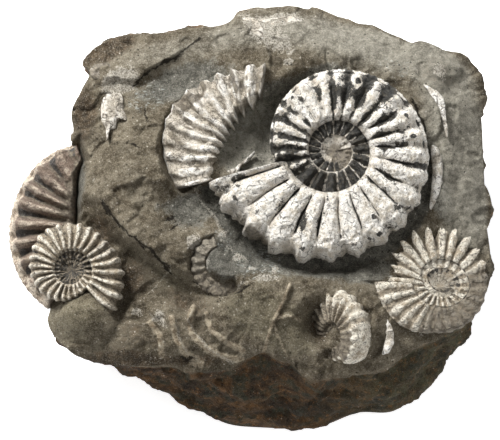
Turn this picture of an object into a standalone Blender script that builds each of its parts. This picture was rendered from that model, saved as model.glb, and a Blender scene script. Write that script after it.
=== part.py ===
"""A block of grey marlstone with ribbed ammonites (Pleuroceras) set in its upper face.

The block lies on its flat underside with the fossil face up. X runs along the long side of the face,
+Y points to the back of the block and +Z up; the origin is on the underside, below the middle of the block.
Every ammonite is a separate piece that sits in a pocket of the rock with a hair of clearance.
Each coil follows a logarithmic spiral: its outer radius grows by the same factor on every turn.
"""

import math

import bmesh
import bpy
import numpy as np
from mathutils import Euler, Matrix

MM = 0.001
DEG = math.pi / 180

# Driving dimensions of the rock
FACE_HEIGHT = 50 * MM  # the middle of the fossil face above the underside
CLEARANCE = 0.35 * MM  # between a fossil and its pocket
POCKET_TOP = 30 * MM  # how far an open pocket's cutter reaches above a fossil's middle plane
BASE_EDGE = 2.5 * MM  # height of the worn edge round the underside
BASE_INSET = 1.5 * MM
ROCK_SPOKES = 132
ROCK_RINGS = 22
SIDE_ROWS = 9
ROCK_TRIANGLES_KEPT = 0.29  # share of the rock's triangles that the decimation leaves

# The rim of the fossil face, anticlockwise from the right: x, y and height over the middle of the face, in mm
RIM = np.array([
    (71, 4, -9), (70.5, 16.5, -9), (70, 28.5, -8), (67, 38, -7), (64, 43, -6), (58.5, 47.5, -6),
    (52.5, 50, -5), (47.5, 49.5, -5), (38.5, 53.5, -6), (31, 55, -6), (24, 57.5, -6), (17, 60.5, -7),
    (12, 61.5, -7), (6, 61, -7), (0.5, 60, -6), (-3.5, 58, -5), (-8, 55, -4), (-17.5, 53, -3),
    (-25.5, 52.5, -3), (-33.5, 51.5, -3), (-41.5, 51, -4), (-46, 48.5, -5), (-50.5, 44, -5),
    (-48.5, 40, -4), (-51, 35, -5), (-54, 28.5, -7), (-53.5, 22, -9), (-56, 17, -14), (-63.5, 10.5, -17),
    (-68, 4, -18), (-70, -4, -19), (-69.5, -12, -19), (-67, -19, -18), (-63, -26, -16), (-59.5, -29.5, -14),
    (-60.5, -35.5, -12), (-56.5, -42, -12), (-51.5, -46, -12), (-41.5, -48.5, -11), (-30, -49, -10),
    (-20, -47.5, -9), (-12, -48.5, -8), (-4, -48.5, -8), (4, -46, -6), (11.5, -47, -6), (16, -50.5, -7),
    (27.5, -52, -8), (34, -52, -8), (40, -50, -7), (47.5, -44, -6), (57, -40, -7), (64.5, -35, -8),
    (68.5, -30.5, -10), (72, -24, -11), (72.5, -15, -10), (71.2, -5, -9),
]) * MM

# The edge of the flat underside, anticlockwise from the right, in mm
BASE = np.array([
    (66, 0), (65, 20), (60, 36), (48, 44), (30, 49), (10, 55), (-8, 50), (-27, 47), (-41, 42), (-48, 33),
    (-50, 20), (-54, 10), (-58, -6), (-56, -22), (-50, -33), (-41, -41.5), (-29, -48), (-17.5, -54),
    (-8, -60), (3, -61.5), (20, -61.5), (33, -57), (45, -56), (57, -45), (65, -31), (67, -16),
]) * MM
FACE_CENTRE = np.array((4.0, 4.0)) * MM

# Soft bumps and hollows of the face: x, y, half width, half depth (mm), turn (degrees), height (mm)
SWELLS = [
    (-1.5, 19, 10.5, 14, 0, -7),  # bowl between the broken whorl and the large coil
    (10, 31, 13, 5, 28, -4),  # channel that runs on from the bowl over the large coil
    (-21, 36.5, 13, 5, 18, -3),  # trough under the upper slab
    (-18, -3.5, 10, 7, 10, -4),  # hollow under the broken whorl
    (-1, -12, 9, 10, 30, -5),  # hollow at the mouth of the large coil
    (28, -19, 20, 5, -4, -4),  # trough below the large coil
    (20.5, -37.5, 4.5, 6.5, 0, -9),  # pit beside the small tilted coil
    (32, -45.5, 4.5, 4, 0, 2.5),  # rock at the mouth of the small tilted coil
    (-30, 10, 14, 10, 0, 3),  # crown of the left plateau
    (-33, -12, 12, 5, -42, 2.5),  # brow of the left plateau
    (-35, -27, 13, 9, -35, -4),  # valley between the plateau and the small left coil
    (-52.5, -35.5, 10, 8.5, 0, 7),  # round cast of the small left coil's body chamber
    (-38, -44.5, 4.5, 3.5, 0, 2.5),  # small egg-shaped cast
    (8, -35, 14, 9, -12, 2.5),  # smooth facets in the middle of the front
    (38.5, -37, 5, 9, 15, 3),  # rib of rock between two coils
    (30, 46, 26, 8, -14, 3),  # swell along the back
    (60, 25, 10, 20, 5, 2.5),  # swell on the right
]

# Ledges: the points of each edge, how far its left side stands above its right side, and its width (mm)
LEDGES = [
    ([(-19, 52), (-24, 47), (-34, 41), (-41, 37), (-53, 34)], -2.6, 0.8),  # slab over the trough
    ([(-50, 3), (-44, -4), (-36, -14), (-25, -22), (-17, -26), (-3, -28.5)], 6.0, 2.0),  # over the valley
    ([(-51, 18), (-49.5, 9), (-51.5, -1)], 5.0, 1.2),  # plateau over the large left whorl
    ([(-15, 1), (-7, -13), (0, -20)], 1.4, 1.0),  # edge of the hollow at the mouth
]

# Ridges (height above 0) and cracks (below 0): points (mm), height (mm), half width (mm)
RIDGES = [
    ([(-13.5, -31), (-16.5, -37), (-10.5, -43), (-3, -47)], 1.8, 1.3),
    ([(-21.5, -34), (-22, -40), (-17, -46), (-11, -49)], 1.8, 1.5),
    ([(-10.5, -34), (-6.5, -40), (-2, -44.5)], 1.2, 1.0),
    ([(11, -28), (8, -38), (4, -45)], 1.0, 0.8),
    ([(4, -31), (8, -38), (10.5, -46)], 1.0, 0.8),
    ([(14.5, -51), (21, -52), (28, -53.5), (34, -53), (41, -51)], -2.0, 0.9),
]

# Profile of a whorl from its inner seam to the middle of its outer side: share of the way across, share of
# the half thickness. The seam's own height comes from the turn that it lies on.
FLANK = np.array([(0.04, 0.66), (0.11, 0.93), (0.30, 1.0), (0.52, 0.99), (0.67, 0.91), (0.88, 0.84),
                  (0.95, 0.58), (1.0, 0.25), (1.02, 0.0)])
SHOULDER = 0.87  # where across the whorl the ribs end in their knobs


class Coil:
    """The measures of one ammonite. Lengths are in metres and angles in radians."""

    def __init__(self, place, radius, mouth, turns, rows, rows_per_rib, growth=2.0, seam=0.40,
                 thickness=0.23, depth=6 * MM, tilt=(0, 0), rib_height=0.26, knob=0.055,
                 stretch=(1, 1, 1, 1, 1), open_top=True):
        self.place = np.array(place) * MM
        self.radius = radius * MM
        self.mouth = mouth * DEG
        self.turns = turns
        self.rows = rows  # rows of points in one turn
        self.rows_per_rib = rows_per_rib
        self.growth = growth
        self.seam = seam
        self.thickness = thickness
        self.depth = depth
        self.tilt = tilt
        self.rib_height = rib_height
        self.knob = knob
        self.stretch = stretch  # of the outer radius, at each quarter of the last turn
        self.pocket_top = POCKET_TOP if open_top else 1.3 * self.thickness * self.radius + CLEARANCE

    def outer_radius(self, turn):
        """The outer radius after that many turns: it shrinks by the growth factor with each turn back."""
        return self.radius * self.growth ** (turn - self.turns)

    def angle(self, turn):
        """The plan angle after that many turns; the coils here all grow clockwise."""
        return self.mouth + (self.turns - turn) * 2 * math.pi

    def covered(self):
        """Share across a whorl where the next turn's seam lies on it."""
        return self.seam * (self.growth - 1) / (1 - self.seam)

    def matrix(self):
        """From the coil's own frame, with its middle plane at z = 0, to the block's."""
        x, y, z = self.place
        turn = Euler((self.tilt[0] * DEG, self.tilt[1] * DEG, 0)).to_matrix().to_4x4()
        return Matrix.Translation((x, y, z + FACE_HEIGHT)) @ turn


# The whole coils: place of the centre (mm, z over the middle of the face) and outer radius at the mouth (mm)
LARGE_COIL = Coil((25.2, 14.2, 1.5), 38.5, 194.5, 2.5, 73, 3, seam=0.38, tilt=(5, 0), depth=7 * MM,
                  stretch=(0.92, 1.03, 1.0, 0.98, 1.0))
SMALL_LEFT_COIL = Coil((-53.5, -20.8, -5.5), 17.2, -50, 2.5, 53, 2, growth=1.7, thickness=0.27, depth=4 * MM,
                       tilt=(6, -8), stretch=(0.72, 0.97, 1.1, 0.89, 1.05))
RIGHT_COIL = Coil((56.4, -26.2, -3.5), 18.3, 177, 2.5, 49, 2, growth=1.9, seam=0.44, thickness=0.17,
                  depth=4 * MM, tilt=(4, 7), rib_height=0.5, knob=0.09, stretch=(1.45, 1.6, 1.0, 0.92, 1.03))
TILTED_COIL = Coil((26.5, -40.8, -4.8), 12.6, -65, 2.5, 45, 2, growth=1.7, thickness=0.32, depth=5 * MM,
                   tilt=(14, -50), stretch=(1, 1.0, 1.5, 1.15, 0.8), open_top=False)

# Pieces of a single whorl: centre (mm), then plan angles (degrees) with outer and inner radius there (mm)
BROKEN_WHORL = dict(centre=(1.1, 14.5, 1.0), angles=(82, 101, 118, 136, 153, 172, 190, 211),
                    outer=(26.8, 25.4, 25.6, 27, 28.1, 27.9, 26.6, 25.2),
                    inner=(17.8, 14.4, 12.3, 11.2, 10.8, 10.8, 12.5, 16),
                    half=4.6, ribs=11, depth=4.5, tilt=(2, -6))
LEFT_WHORL = dict(centre=(-42.9, -7.0, -13.0), angles=(110, 128, 150, 180, 210, 232),
                  outer=(28, 29.7, 29.7, 29.7, 29.7, 29.2),
                  inner=(23, 15, 11, 9.5, 9.5, 9.5), half=6.4, ribs=9, depth=5, tilt=(0, -9))
BURIED_WHORL = dict(centre=(-8.0, -19.6, -2.2), angles=(110, 150, 190, 230, 270, 300),
                    outer=(9, 9.8, 10, 10, 9.8, 9.5),
                    inner=(5.2, 5.2, 5.2, 5.4, 5.6, 6), half=2.6, ribs=9, depth=3, tilt=(0, 0))

# Loose plates of shell: centre, outline round it, thickness above the centre (mm) and tilt (degrees)
PLATES = {
    "shell_flake_right": ((56.4, 7.2, -1.2), [
        (-1.2, 9.7), (-2.0, 8.6), (-1.6, 2.5), (-1.9, -3), (-2.6, -9.2), (-1.7, -9.6), (0.2, -5.5),
        (1.2, 0), (1.2, 4.5), (0.3, 8.2)
    ], 1.2, (0, -20)),
    "shell_edge_upper_right": ((58.4, 27.2, 0.5), [
        (-5.4, 7.8), (-5.6, 7.2), (-1.2, 3.6), (-0.4, -2), (0.6, -7.6), (1.3, -7.4), (0.6, -2), (-0.4, 4.2)
    ], 0.7, (0, 6)),
    "shell_edge_lower": ((41.5, -40.4, -1.4), [
        (-1.6, 5.2), (-2.8, 5.0), (-2.4, 2.6), (-0.9, 0.6), (-0.4, -2.4), (-0.9, -4.9), (-2.0, -6.6),
        (-0.3, -6.2), (1.3, -4), (1.5, -1), (0.6, 2.2)
    ], 0.9, (0, 0)),
    "shell_fragment_upper_left": ((-41.4, 26.6, -0.6), [
        (2.6, 5.6), (-1.6, 5.8), (-3.4, 3), (-3.4, -2), (-2.2, -4.2), (-1.6, -8.4), (-0.9, -5.2),
        (0.8, -4.6), (2, -1.8), (4.4, -2.4), (3.4, 1)
    ], 1.7, (0, -5)),
    "shell_patch_back": ((6.8, 52.2, -2.3), [
        (9.4, 3.2), (5, 5.4), (-2, 4.4), (-8.8, 4.8), (-8.4, 1.4), (-1.6, -3.6), (3.4, -5.4), (2.2, -1.6),
        (7.2, 0.2)
    ], 1.2, (-14, 0)),
    "shell_crumb_at_mouth": ((-4.4, 8.6, -1.2), [
        (5.6, 6.2), (0.2, 1.4), (-3.2, -0.2), (-2.6, -1.6), (0.6, -1.2), (1.6, 1.2), (4.2, 3.6)
    ], 1.3, (0, 0)),
    "shell_scrap_left_rim": ((-43.6, 39.6, -2.2), [
        (4.6, -1.2), (3.2, 1.6), (-1.2, 2.8), (-4.4, 1.4), (-4.2, -1.4), (0, -2.6)
    ], 1.2, (4, 0)),
}

COLOURS = {  # base colour and roughness of each finish
    "rock": ((0.155, 0.132, 0.108), 0.85),
    "white_shell": ((0.70, 0.65, 0.57), 0.60),
    "brown_shell": ((0.42, 0.36, 0.28), 0.65),
}


def smooth_step(value, start, end):
    """0 before start and 1 after end, with a smooth cubic rise between."""
    t = np.clip((value - start) / (end - start), 0, 1)
    return t * t * (3 - 2 * t)


def hash_values(cells, seed):
    """A repeatable random number from -1 to 1 for each row of whole numbers."""
    mixed = cells[..., 0] * 73856093 ^ cells[..., 1] * 19349663 ^ cells[..., 2] * 83492791 ^ seed * 2654435761
    mixed = (mixed ^ (mixed >> 13)) * 1274126177 & 0xFFFFFFFF
    return (mixed ^ (mixed >> 16)) % 65536 / 32767.5 - 1


def value_noise(points, cell, seed):
    """Smooth random relief: random values at the corners of a grid, blended between them."""
    scaled = points / cell
    corner = np.floor(scaled).astype(np.int64)
    part = scaled - corner
    part = part * part * (3 - 2 * part)
    total = np.zeros(points.shape[:-1])
    for dx in (0, 1):
        for dy in (0, 1):
            for dz in (0, 1):
                side = np.where((dx, dy, dz), part, 1 - part).prod(axis=-1)
                total += side * hash_values(corner + (dx, dy, dz), seed)
    return total


def closed_curve(points, samples):
    """A smooth closed curve through the points (Catmull-Rom), with that many samples along it."""
    position = np.arange(samples) * len(points) / samples
    whole = position.astype(int)
    t = (position - whole)[:, None]
    p0, p1, p2, p3 = (points[(whole + k) % len(points)] for k in (-1, 0, 1, 2))
    bend = (2 * p0 - 5 * p1 + 4 * p2 - p3) * t**2 + (3 * p1 - p0 - 3 * p2 + p3) * t**3
    return 0.5 * (2 * p1 + (p2 - p0) * t + bend)


def line_distance(x, y, points):
    """Distance to a chain of points, the side of it (+1 on its left) and the share along it."""
    points = np.array(points, float) * MM
    best = np.full(x.shape, np.inf)
    side = np.ones(x.shape)
    along = np.zeros(x.shape)
    count = len(points) - 1
    for k in range(count):
        a, d = points[k], points[k + 1] - points[k]
        t = np.clip(((x - a[0]) * d[0] + (y - a[1]) * d[1]) / (d @ d), 0, 1)
        away = np.hypot(x - a[0] - t * d[0], y - a[1] - t * d[1])
        nearer = away < best
        cross = d[0] * (y - a[1]) - d[1] * (x - a[0])
        side = np.where(nearer, np.where(cross >= 0, 1.0, -1.0), side)
        along = np.where(nearer, (k + t) / count, along)
        best = np.where(nearer, away, best)
    return best, side, along


def moat_depth(x, y, coil, depth, near, far):
    """The trench that bares a coil: full depth up to near beyond its outline, and gone at far."""
    dx, dy = x - coil.place[0], y - coil.place[1]
    back = np.mod(np.arctan2(dy, dx) - coil.mouth, 2 * math.pi) / (2 * math.pi)
    beyond = np.hypot(dx, dy) - coil.outer_radius(coil.turns - back)
    return -depth * (1 - smooth_step(beyond, near, far))


def face_relief(x, y):
    """Height of the rock's upper face over its middle plane, before its rim drops."""
    z = np.full(x.shape, 2.0 * MM)
    for cx, cy, half_x, half_y, turn, height in SWELLS:
        c, s = math.cos(turn * DEG), math.sin(turn * DEG)
        u = ((x - cx * MM) * c + (y - cy * MM) * s) / (half_x * MM)
        v = (-(x - cx * MM) * s + (y - cy * MM) * c) / (half_y * MM)
        z = z + height * MM * np.exp(-((u * u + v * v) ** 1.3))
    for points, height, width in LEDGES:
        away, side, along = line_distance(x, y, points)
        fade = smooth_step(along, -0.02, 0.18) * (1 - smooth_step(along, 0.85, 1.02))
        fade = fade * np.exp(-(away / (16 * MM)) ** 2)
        z = z + 0.5 * height * MM * side * fade * smooth_step(away, 0, width * MM)
    for points, height, half_width in RIDGES:
        away, side, along = line_distance(x, y, points)
        z = z + height * MM * np.exp(-(away / (half_width * MM)) ** 2)
    z = z + moat_depth(x, y, LARGE_COIL, 5 * MM, 1.5 * MM, 7 * MM)
    z = z + moat_depth(x, y, SMALL_LEFT_COIL, 4 * MM, 1 * MM, 5 * MM)
    z = z + moat_depth(x, y, RIGHT_COIL, 1.5 * MM, 1 * MM, 5 * MM)
    return z


def rock_grid():
    """Points of the rock on a grid of rings and spokes: the face, the sides and the edge of the underside."""
    rim = closed_curve(RIM, ROCK_SPOKES)
    base = closed_curve(np.column_stack((BASE, np.zeros(len(BASE)))), 4 * ROCK_SPOKES)[:, :2]
    rim_angle = np.arctan2(rim[:, 1] - FACE_CENTRE[1], rim[:, 0] - FACE_CENTRE[0])
    base_angle = np.arctan2(base[:, 1] - FACE_CENTRE[1], base[:, 0] - FACE_CENTRE[0])
    order = np.argsort(base_angle)
    base_reach = np.hypot(*(base - FACE_CENTRE).T)
    reach = np.interp(rim_angle, base_angle[order], base_reach[order], period=2 * math.pi)
    foot = FACE_CENTRE + reach[:, None] * np.column_stack((np.cos(rim_angle), np.sin(rim_angle)))

    share = (np.arange(1, ROCK_RINGS + 1) / ROCK_RINGS)[:, None]
    x = FACE_CENTRE[0] + share * (rim[:, 0] - FACE_CENTRE[0])
    y = FACE_CENTRE[1] + share * (rim[:, 1] - FACE_CENTRE[1])
    relief = face_relief(x, y)
    z = relief * (1 - share**8) + rim[:, 2] * share**4
    top = np.stack((x, y, z + FACE_HEIGHT), axis=-1)

    down = (np.arange(1, SIDE_ROWS + 1) / SIDE_ROWS)[:, None]
    side_z = top[-1, :, 2] * (1 - down) + BASE_EDGE * down
    spread = smooth_step(down, -0.1, 1.0)
    side_x = rim[:, 0] * (1 - spread) + foot[:, 0] * spread
    side_y = rim[:, 1] * (1 - spread) + foot[:, 1] * spread
    sides = np.stack((side_x, side_y, side_z), axis=-1)
    outward = np.column_stack((np.cos(rim_angle), np.sin(rim_angle), np.zeros(ROCK_SPOKES)))
    swell = np.sin(math.pi * np.clip(down, 0, 1)) * 1.5 * MM
    beds = value_noise(sides * (1, 1, 2.4), 17 * MM, 7) * 3 * MM  # beds of the rock, wider than they are high
    rough = beds + value_noise(sides, 9 * MM, 5) * 1.8 * MM + value_noise(sides, 4.5 * MM, 6) * 0.9 * MM
    sides = sides + outward * (swell + rough * (1 - down**6))[..., None]

    inset = sides[-1:] - outward * BASE_INSET
    inset[..., 2] = 0
    top[..., 2] += value_noise(top, 9 * MM, 3) * 1.2 * MM
    return np.concatenate((top, sides, inset))


def new_object(name, points, faces, finish):
    """A mesh object with its faces turned outwards and its own material."""
    mesh = bpy.data.meshes.new(name)
    mesh.from_pydata(points.tolist(), [], faces)
    work = bmesh.new()
    work.from_mesh(mesh)
    bmesh.ops.recalc_face_normals(work, faces=work.faces)
    bmesh.ops.triangulate(work, faces=[f for f in work.faces if len(f.verts) > 4])
    work.to_mesh(mesh)
    work.free()
    obj = bpy.data.objects.new(name, mesh)
    bpy.context.scene.collection.objects.link(obj)
    if finish:
        mesh.materials.append(material(name, finish))
    return obj


def material(name, finish):
    """The piece's own Principled material, with the colour and roughness of its finish."""
    colour, roughness = COLOURS[finish]
    made = bpy.data.materials.new(name)
    made.use_nodes = True
    shader = made.node_tree.nodes["Principled BSDF"]
    shader.inputs["Base Color"].default_value = (*colour, 1)
    shader.inputs["Roughness"].default_value = roughness
    return made


def build_rock():
    """The block: rings of the face from its centre out, then the sides, closed by the flat underside."""
    grid = rock_grid()
    rows, spokes = grid.shape[:2]
    centre = np.array([[*FACE_CENTRE, 0.0]])
    centre[0, 2] = FACE_HEIGHT + face_relief(centre[:, 0], centre[:, 1])[0]
    points = np.concatenate((centre, grid.reshape(-1, 3)))
    index = np.arange(rows * spokes).reshape(rows, spokes) + 1
    after = np.roll(index, -1, axis=1)
    faces = [(0, a, b) for a, b in zip(index[0].tolist(), after[0].tolist())]
    quads = np.stack((index[:-1], index[1:], after[1:], after[:-1]), axis=-1)
    faces += quads.reshape(-1, 4).tolist()
    faces.append(index[-1].tolist())
    rock = new_object("rock_matrix", points, faces, "rock")
    thin = rock.modifiers.new("thin", "DECIMATE")
    thin.ratio = ROCK_TRIANGLES_KEPT
    return rock


def rib_crest(ribs):
    """1 on the crest of a rib and 0 in the furrow between two, for a count of ribs: a raised cosine."""
    return (0.5 + 0.5 * np.cos(2 * math.pi * ribs)) ** 0.8


def flank_height(across):
    """The plain profile's height at a share across the whorl, from the points of FLANK."""
    return np.interp(across, FLANK[:, 0], FLANK[:, 1])


def ribbed(radius, height, across, outer, half, crest, rib_height, knob):
    """Adds ribs to a whorl's plain profile: they rise over the flank and end in knobs at the shoulder."""
    strength = smooth_step(across, 0.03, 0.3) * (1 - smooth_step(across, 0.93, 1.0))
    shoulder = np.exp(-((across - SHOULDER) / 0.09) ** 2)
    height = height + half * strength * (rib_height * (crest - 0.6) + 0.16 * shoulder * crest)
    fringe = smooth_step(across, 0.7, 0.9)
    return radius + outer * knob * fringe * (crest - 0.75), height


def build_coil(name, coil, finish, inner_samples, outer_samples):
    """A whole ammonite as one closed surface.

    The flank is a band that winds outwards like a ramp: its inner edge is the seam, which shares its points
    with the band one turn further in. The last turn goes on over the shoulder and down to a flat underside.
    """
    per_turn = coil.rows
    rows = round(per_turn * coil.turns)
    row = np.arange(rows + 1)
    turn = coil.turns - (rows - row) / per_turn
    outer = coil.outer_radius(turn)
    inner_across = np.array([*inner_samples, coil.covered()])
    outer_across = np.array(outer_samples)
    last = row[-1] - per_turn

    def surface(rows_used, across):
        size = outer[rows_used][:, None]
        half = size * coil.thickness
        plain_radius = size * (coil.seam + across * (1 - coil.seam))
        crest = rib_crest(rows_used / coil.rows_per_rib)[:, None]
        radius, height = ribbed(plain_radius, half * flank_height(across), across, size, half, crest,
                                coil.rib_height, coil.knob)
        angle = coil.angle(turn[rows_used])[:, None]
        return radius, height, angle

    def to_points(radius, height, angle):
        return np.stack((radius * np.cos(angle), radius * np.sin(angle), height), axis=-1)

    inner_points = to_points(*surface(row, inner_across))
    rim_rows = row[last:]
    radius, height, angle = surface(rim_rows, outer_across)
    seam_radius = outer[rim_rows][:, None] * coil.seam * coil.growth
    stretch = np.interp(turn[rim_rows] - turn[last], np.linspace(0, 1, 5), coil.stretch)[:, None]
    pull = 1 + (stretch - 1) * outer[rim_rows][:, None] / (outer[rim_rows][:, None] - seam_radius)
    radius = seam_radius + (radius - seam_radius) * pull
    foot_radius = radius[:, -1:] * 0.97
    radius = np.concatenate((radius, foot_radius), axis=1)
    height = np.concatenate((height, np.full_like(foot_radius, -coil.depth)), axis=1)
    outer_points = to_points(radius, height, angle)

    middle = np.array([[0, 0, inner_points[0, 0, 2]]])
    points = np.concatenate((middle, inner_points.reshape(-1, 3), outer_points.reshape(-1, 3)))
    count = len(inner_across)
    inner_index = 1 + np.arange((rows + 1) * count).reshape(rows + 1, count)
    seam = np.zeros((rows + 1, 1), int)
    seam[per_turn:, 0] = inner_index[: rows + 1 - per_turn, -1]
    band = np.concatenate((seam, inner_index), axis=1)
    rim_index = 1 + inner_index.size + np.arange(outer_points.shape[0] * outer_points.shape[1])
    rim = np.concatenate((band[last:, -1:], rim_index.reshape(outer_points.shape[:2])), axis=1)

    faces = []
    for strip in (band, rim):
        quads = np.stack((strip[:-1, :-1], strip[1:, :-1], strip[1:, 1:], strip[:-1, 1:]), axis=-1)
        faces += [tuple(q) if q[0] != q[1] else (q[0], q[2], q[3]) for q in quads.reshape(-1, 4).tolist()]
    start = [0, *band[0, 1:].tolist(), int(band[per_turn, 1]), int(band[per_turn - 1, 1])]
    broken = (0, int(band[per_turn, 0]), int(band[per_turn, 1]), int(band[per_turn - 1, 1]))
    faces.remove(broken)
    faces.append(tuple(start))
    mouth = rim[0].tolist() + rim[-1, ::-1].tolist() + band[-1, -2:0:-1].tolist()
    faces.append(tuple(mouth))
    faces.append(tuple(rim[:, -1].tolist()))
    obj = new_object(name, points, faces, finish)
    obj.matrix_world = coil.matrix()
    return obj


def build_coil_pocket(coil, corners):
    """The cutter for a coil's pocket: a prism with the coil's outline, grown by the clearance."""
    turn = coil.turns - np.linspace(0, 1, corners)
    stretch = np.interp(turn - turn.min(), np.linspace(0, 1, 5), coil.stretch)
    grow = CLEARANCE + 0.3 * MM
    radius = coil.outer_radius(turn) * stretch * (1.02 + 0.3 * coil.knob) + grow
    angle = coil.angle(turn)
    radius = np.concatenate((radius[:1], radius))
    angle = np.concatenate((angle[:1] - grow / radius[0], angle))
    angle[-1] -= grow / radius[-1]
    return build_prism("pocket", np.column_stack((radius * np.cos(angle), radius * np.sin(angle))),
                       -coil.depth - CLEARANCE, coil.pocket_top, coil.matrix())


def build_prism(name, outline, low, high, matrix):
    """A hidden cutter: an outline drawn out between two heights."""
    count = len(outline)
    points = np.concatenate((np.column_stack((outline, np.full(count, low))),
                             np.column_stack((outline, np.full(count, high)))))
    faces = [tuple(range(count)), tuple(range(count, 2 * count))]
    faces += [(k, (k + 1) % count, count + (k + 1) % count, count + k) for k in range(count)]
    cutter = new_object(name, points, faces, None)
    cutter.matrix_world = matrix
    cutter.hide_render = True
    cutter.display_type = "WIRE"
    return cutter


def whorl_matrix(spec):
    """From a whorl's own frame to the block's."""
    x, y, z = np.array(spec["centre"]) * MM
    turn = Euler((spec["tilt"][0] * DEG, spec["tilt"][1] * DEG, 0)).to_matrix().to_4x4()
    return Matrix.Translation((x, y, z + FACE_HEIGHT)) @ turn


def build_whorl(name, spec, finish, per_rib, samples):
    """An arc of one whorl: its ribbed cross-section carried round between its inner and outer radius."""
    steps = spec["ribs"] * per_rib + 1
    share = np.linspace(0, 1, steps)
    knots = (np.array(spec["angles"]) - spec["angles"][0]) / (spec["angles"][-1] - spec["angles"][0])
    angle = np.interp(share, knots, spec["angles"])[:, None] * DEG
    outer = np.interp(share, knots, spec["outer"])[:, None] * MM
    inner = np.interp(share, knots, spec["inner"])[:, None] * MM
    half = spec["half"] * MM * (0.75 + 0.25 * np.sin(math.pi * share))[:, None]
    across = np.array(samples)
    crest = rib_crest(spec["ribs"] * share)[:, None]
    plain_radius = inner + (outer - inner) * across
    radius, height = ribbed(plain_radius, half * flank_height(across), across, outer, half, crest, 0.28, 0.05)
    foot = np.full_like(inner, -spec["depth"] * MM)
    radius = np.concatenate((inner, inner, radius, outer * 0.97), axis=1)
    height = np.concatenate((foot, half * 0.2, height, foot), axis=1)
    points = np.stack((radius * np.cos(angle), radius * np.sin(angle), height), axis=-1)
    count = points.shape[1]
    index = np.arange(steps * count).reshape(steps, count)
    after = np.roll(index, -1, axis=1)
    quads = np.stack((index[:-1], index[1:], after[1:], after[:-1]), axis=-1)
    faces = quads.reshape(-1, 4).tolist() + [index[0].tolist(), index[-1, ::-1].tolist()]
    obj = new_object(name, points.reshape(-1, 3), faces, finish)
    obj.matrix_world = whorl_matrix(spec)
    return obj


def build_whorl_pocket(spec):
    """The cutter for the pocket of an arc of a whorl."""
    grow = CLEARANCE + 0.3 * MM
    angles = np.linspace(spec["angles"][0], spec["angles"][-1], 3 * len(spec["angles"])) * DEG
    knots = np.array(spec["angles"]) * DEG
    outer = np.interp(angles, knots, spec["outer"]) * MM * 1.035 + grow
    inner = np.interp(angles, knots, spec["inner"]) * MM - grow
    ends = np.zeros(len(angles))
    ends[0], ends[-1] = -grow, grow
    outline = np.concatenate((
        np.column_stack((outer * np.cos(angles + ends / outer), outer * np.sin(angles + ends / outer))),
        np.column_stack((inner * np.cos(angles + ends / inner), inner * np.sin(angles + ends / inner)))[::-1],
    ))
    return build_prism("pocket", outline, -spec["depth"] * MM - CLEARANCE, POCKET_TOP, whorl_matrix(spec))


def build_plate(name, centre, outline, thickness, tilt):
    """A loose plate of shell with a bevelled upper edge, and the cutter for its pocket."""
    outline = np.array(outline, float) * MM
    middle = outline.mean(axis=0)
    root = 1.6 * MM
    count = len(outline)
    rings = [(1.0, -root), (1.0, 0.3 * thickness * MM), (0.86, thickness * MM)]
    points = np.concatenate([np.column_stack((middle + (outline - middle) * size, np.full(count, z)))
                             for size, z in rings])
    index = np.arange(3 * count).reshape(3, count)
    after = np.roll(index, -1, axis=1)
    quads = np.stack((index[:-1], after[:-1], after[1:], index[1:]), axis=-1)
    faces = quads.reshape(-1, 4).tolist() + [index[0].tolist(), index[-1].tolist()]
    plate = new_object(name, points, faces, "white_shell")
    x, y, z = np.array(centre) * MM
    turn = Euler((tilt[0] * DEG, tilt[1] * DEG, 0)).to_matrix().to_4x4()
    matrix = Matrix.Translation((x, y, z + FACE_HEIGHT)) @ turn
    plate.matrix_world = matrix
    edge = np.roll(outline, -1, axis=0) - np.roll(outline, 1, axis=0)
    outward = np.column_stack((edge[:, 1], -edge[:, 0])) / np.hypot(*edge.T)[:, None]
    grown = outline + outward * 2 * CLEARANCE
    return build_prism("pocket", grown, -root - CLEARANCE, 8 * MM, matrix)


def cut(target, cutters):
    """Takes the shapes of all the cutters out of the target in one step."""
    group = bpy.data.collections.new(target.name + "_pockets")
    for cutter in cutters:
        group.objects.link(cutter)
    difference = target.modifiers.new("pockets", "BOOLEAN")
    difference.operation = "DIFFERENCE"
    difference.solver = "EXACT"
    difference.operand_type = "COLLECTION"
    difference.collection = group


def clear_scene():
    for obj in list(bpy.data.objects):
        bpy.data.objects.remove(obj)


def main():
    clear_scene()
    rock = build_rock()
    build_coil("ammonite_large", LARGE_COIL, "white_shell", (0.10, 0.35), (SHOULDER, 0.96, 1.02))
    build_coil("ammonite_small_left", SMALL_LEFT_COIL, "white_shell", (0.12,), (0.80, SHOULDER, 1.0))
    build_coil("ammonite_right", RIGHT_COIL, "white_shell", (0.12,), (0.72, SHOULDER, 1.0))
    build_coil("ammonite_tilted", TILTED_COIL, "white_shell", (0.14,), (SHOULDER, 1.0))
    build_whorl("broken_whorl", BROKEN_WHORL, "white_shell", 3, (0.1, 0.3, 0.6, SHOULDER, 1.0))
    left_whorl = build_whorl("left_whorl", LEFT_WHORL, "brown_shell", 3, (0.12, 0.4, 0.7, SHOULDER, 1.0))
    build_whorl("buried_whorl", BURIED_WHORL, "brown_shell", 2, (0.3, SHOULDER, 1.0))
    pockets = [build_coil_pocket(LARGE_COIL, 40), build_coil_pocket(RIGHT_COIL, 26)]
    pockets.append(build_coil_pocket(TILTED_COIL, 22))
    pockets += [build_whorl_pocket(spec) for spec in (BROKEN_WHORL, LEFT_WHORL, BURIED_WHORL)]
    pockets += [build_plate(name, *plate) for name, plate in PLATES.items()]
    small_left = build_coil_pocket(SMALL_LEFT_COIL, 26)
    cut(rock, [*pockets, small_left])
    cut(left_whorl, [small_left])


main()
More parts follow.
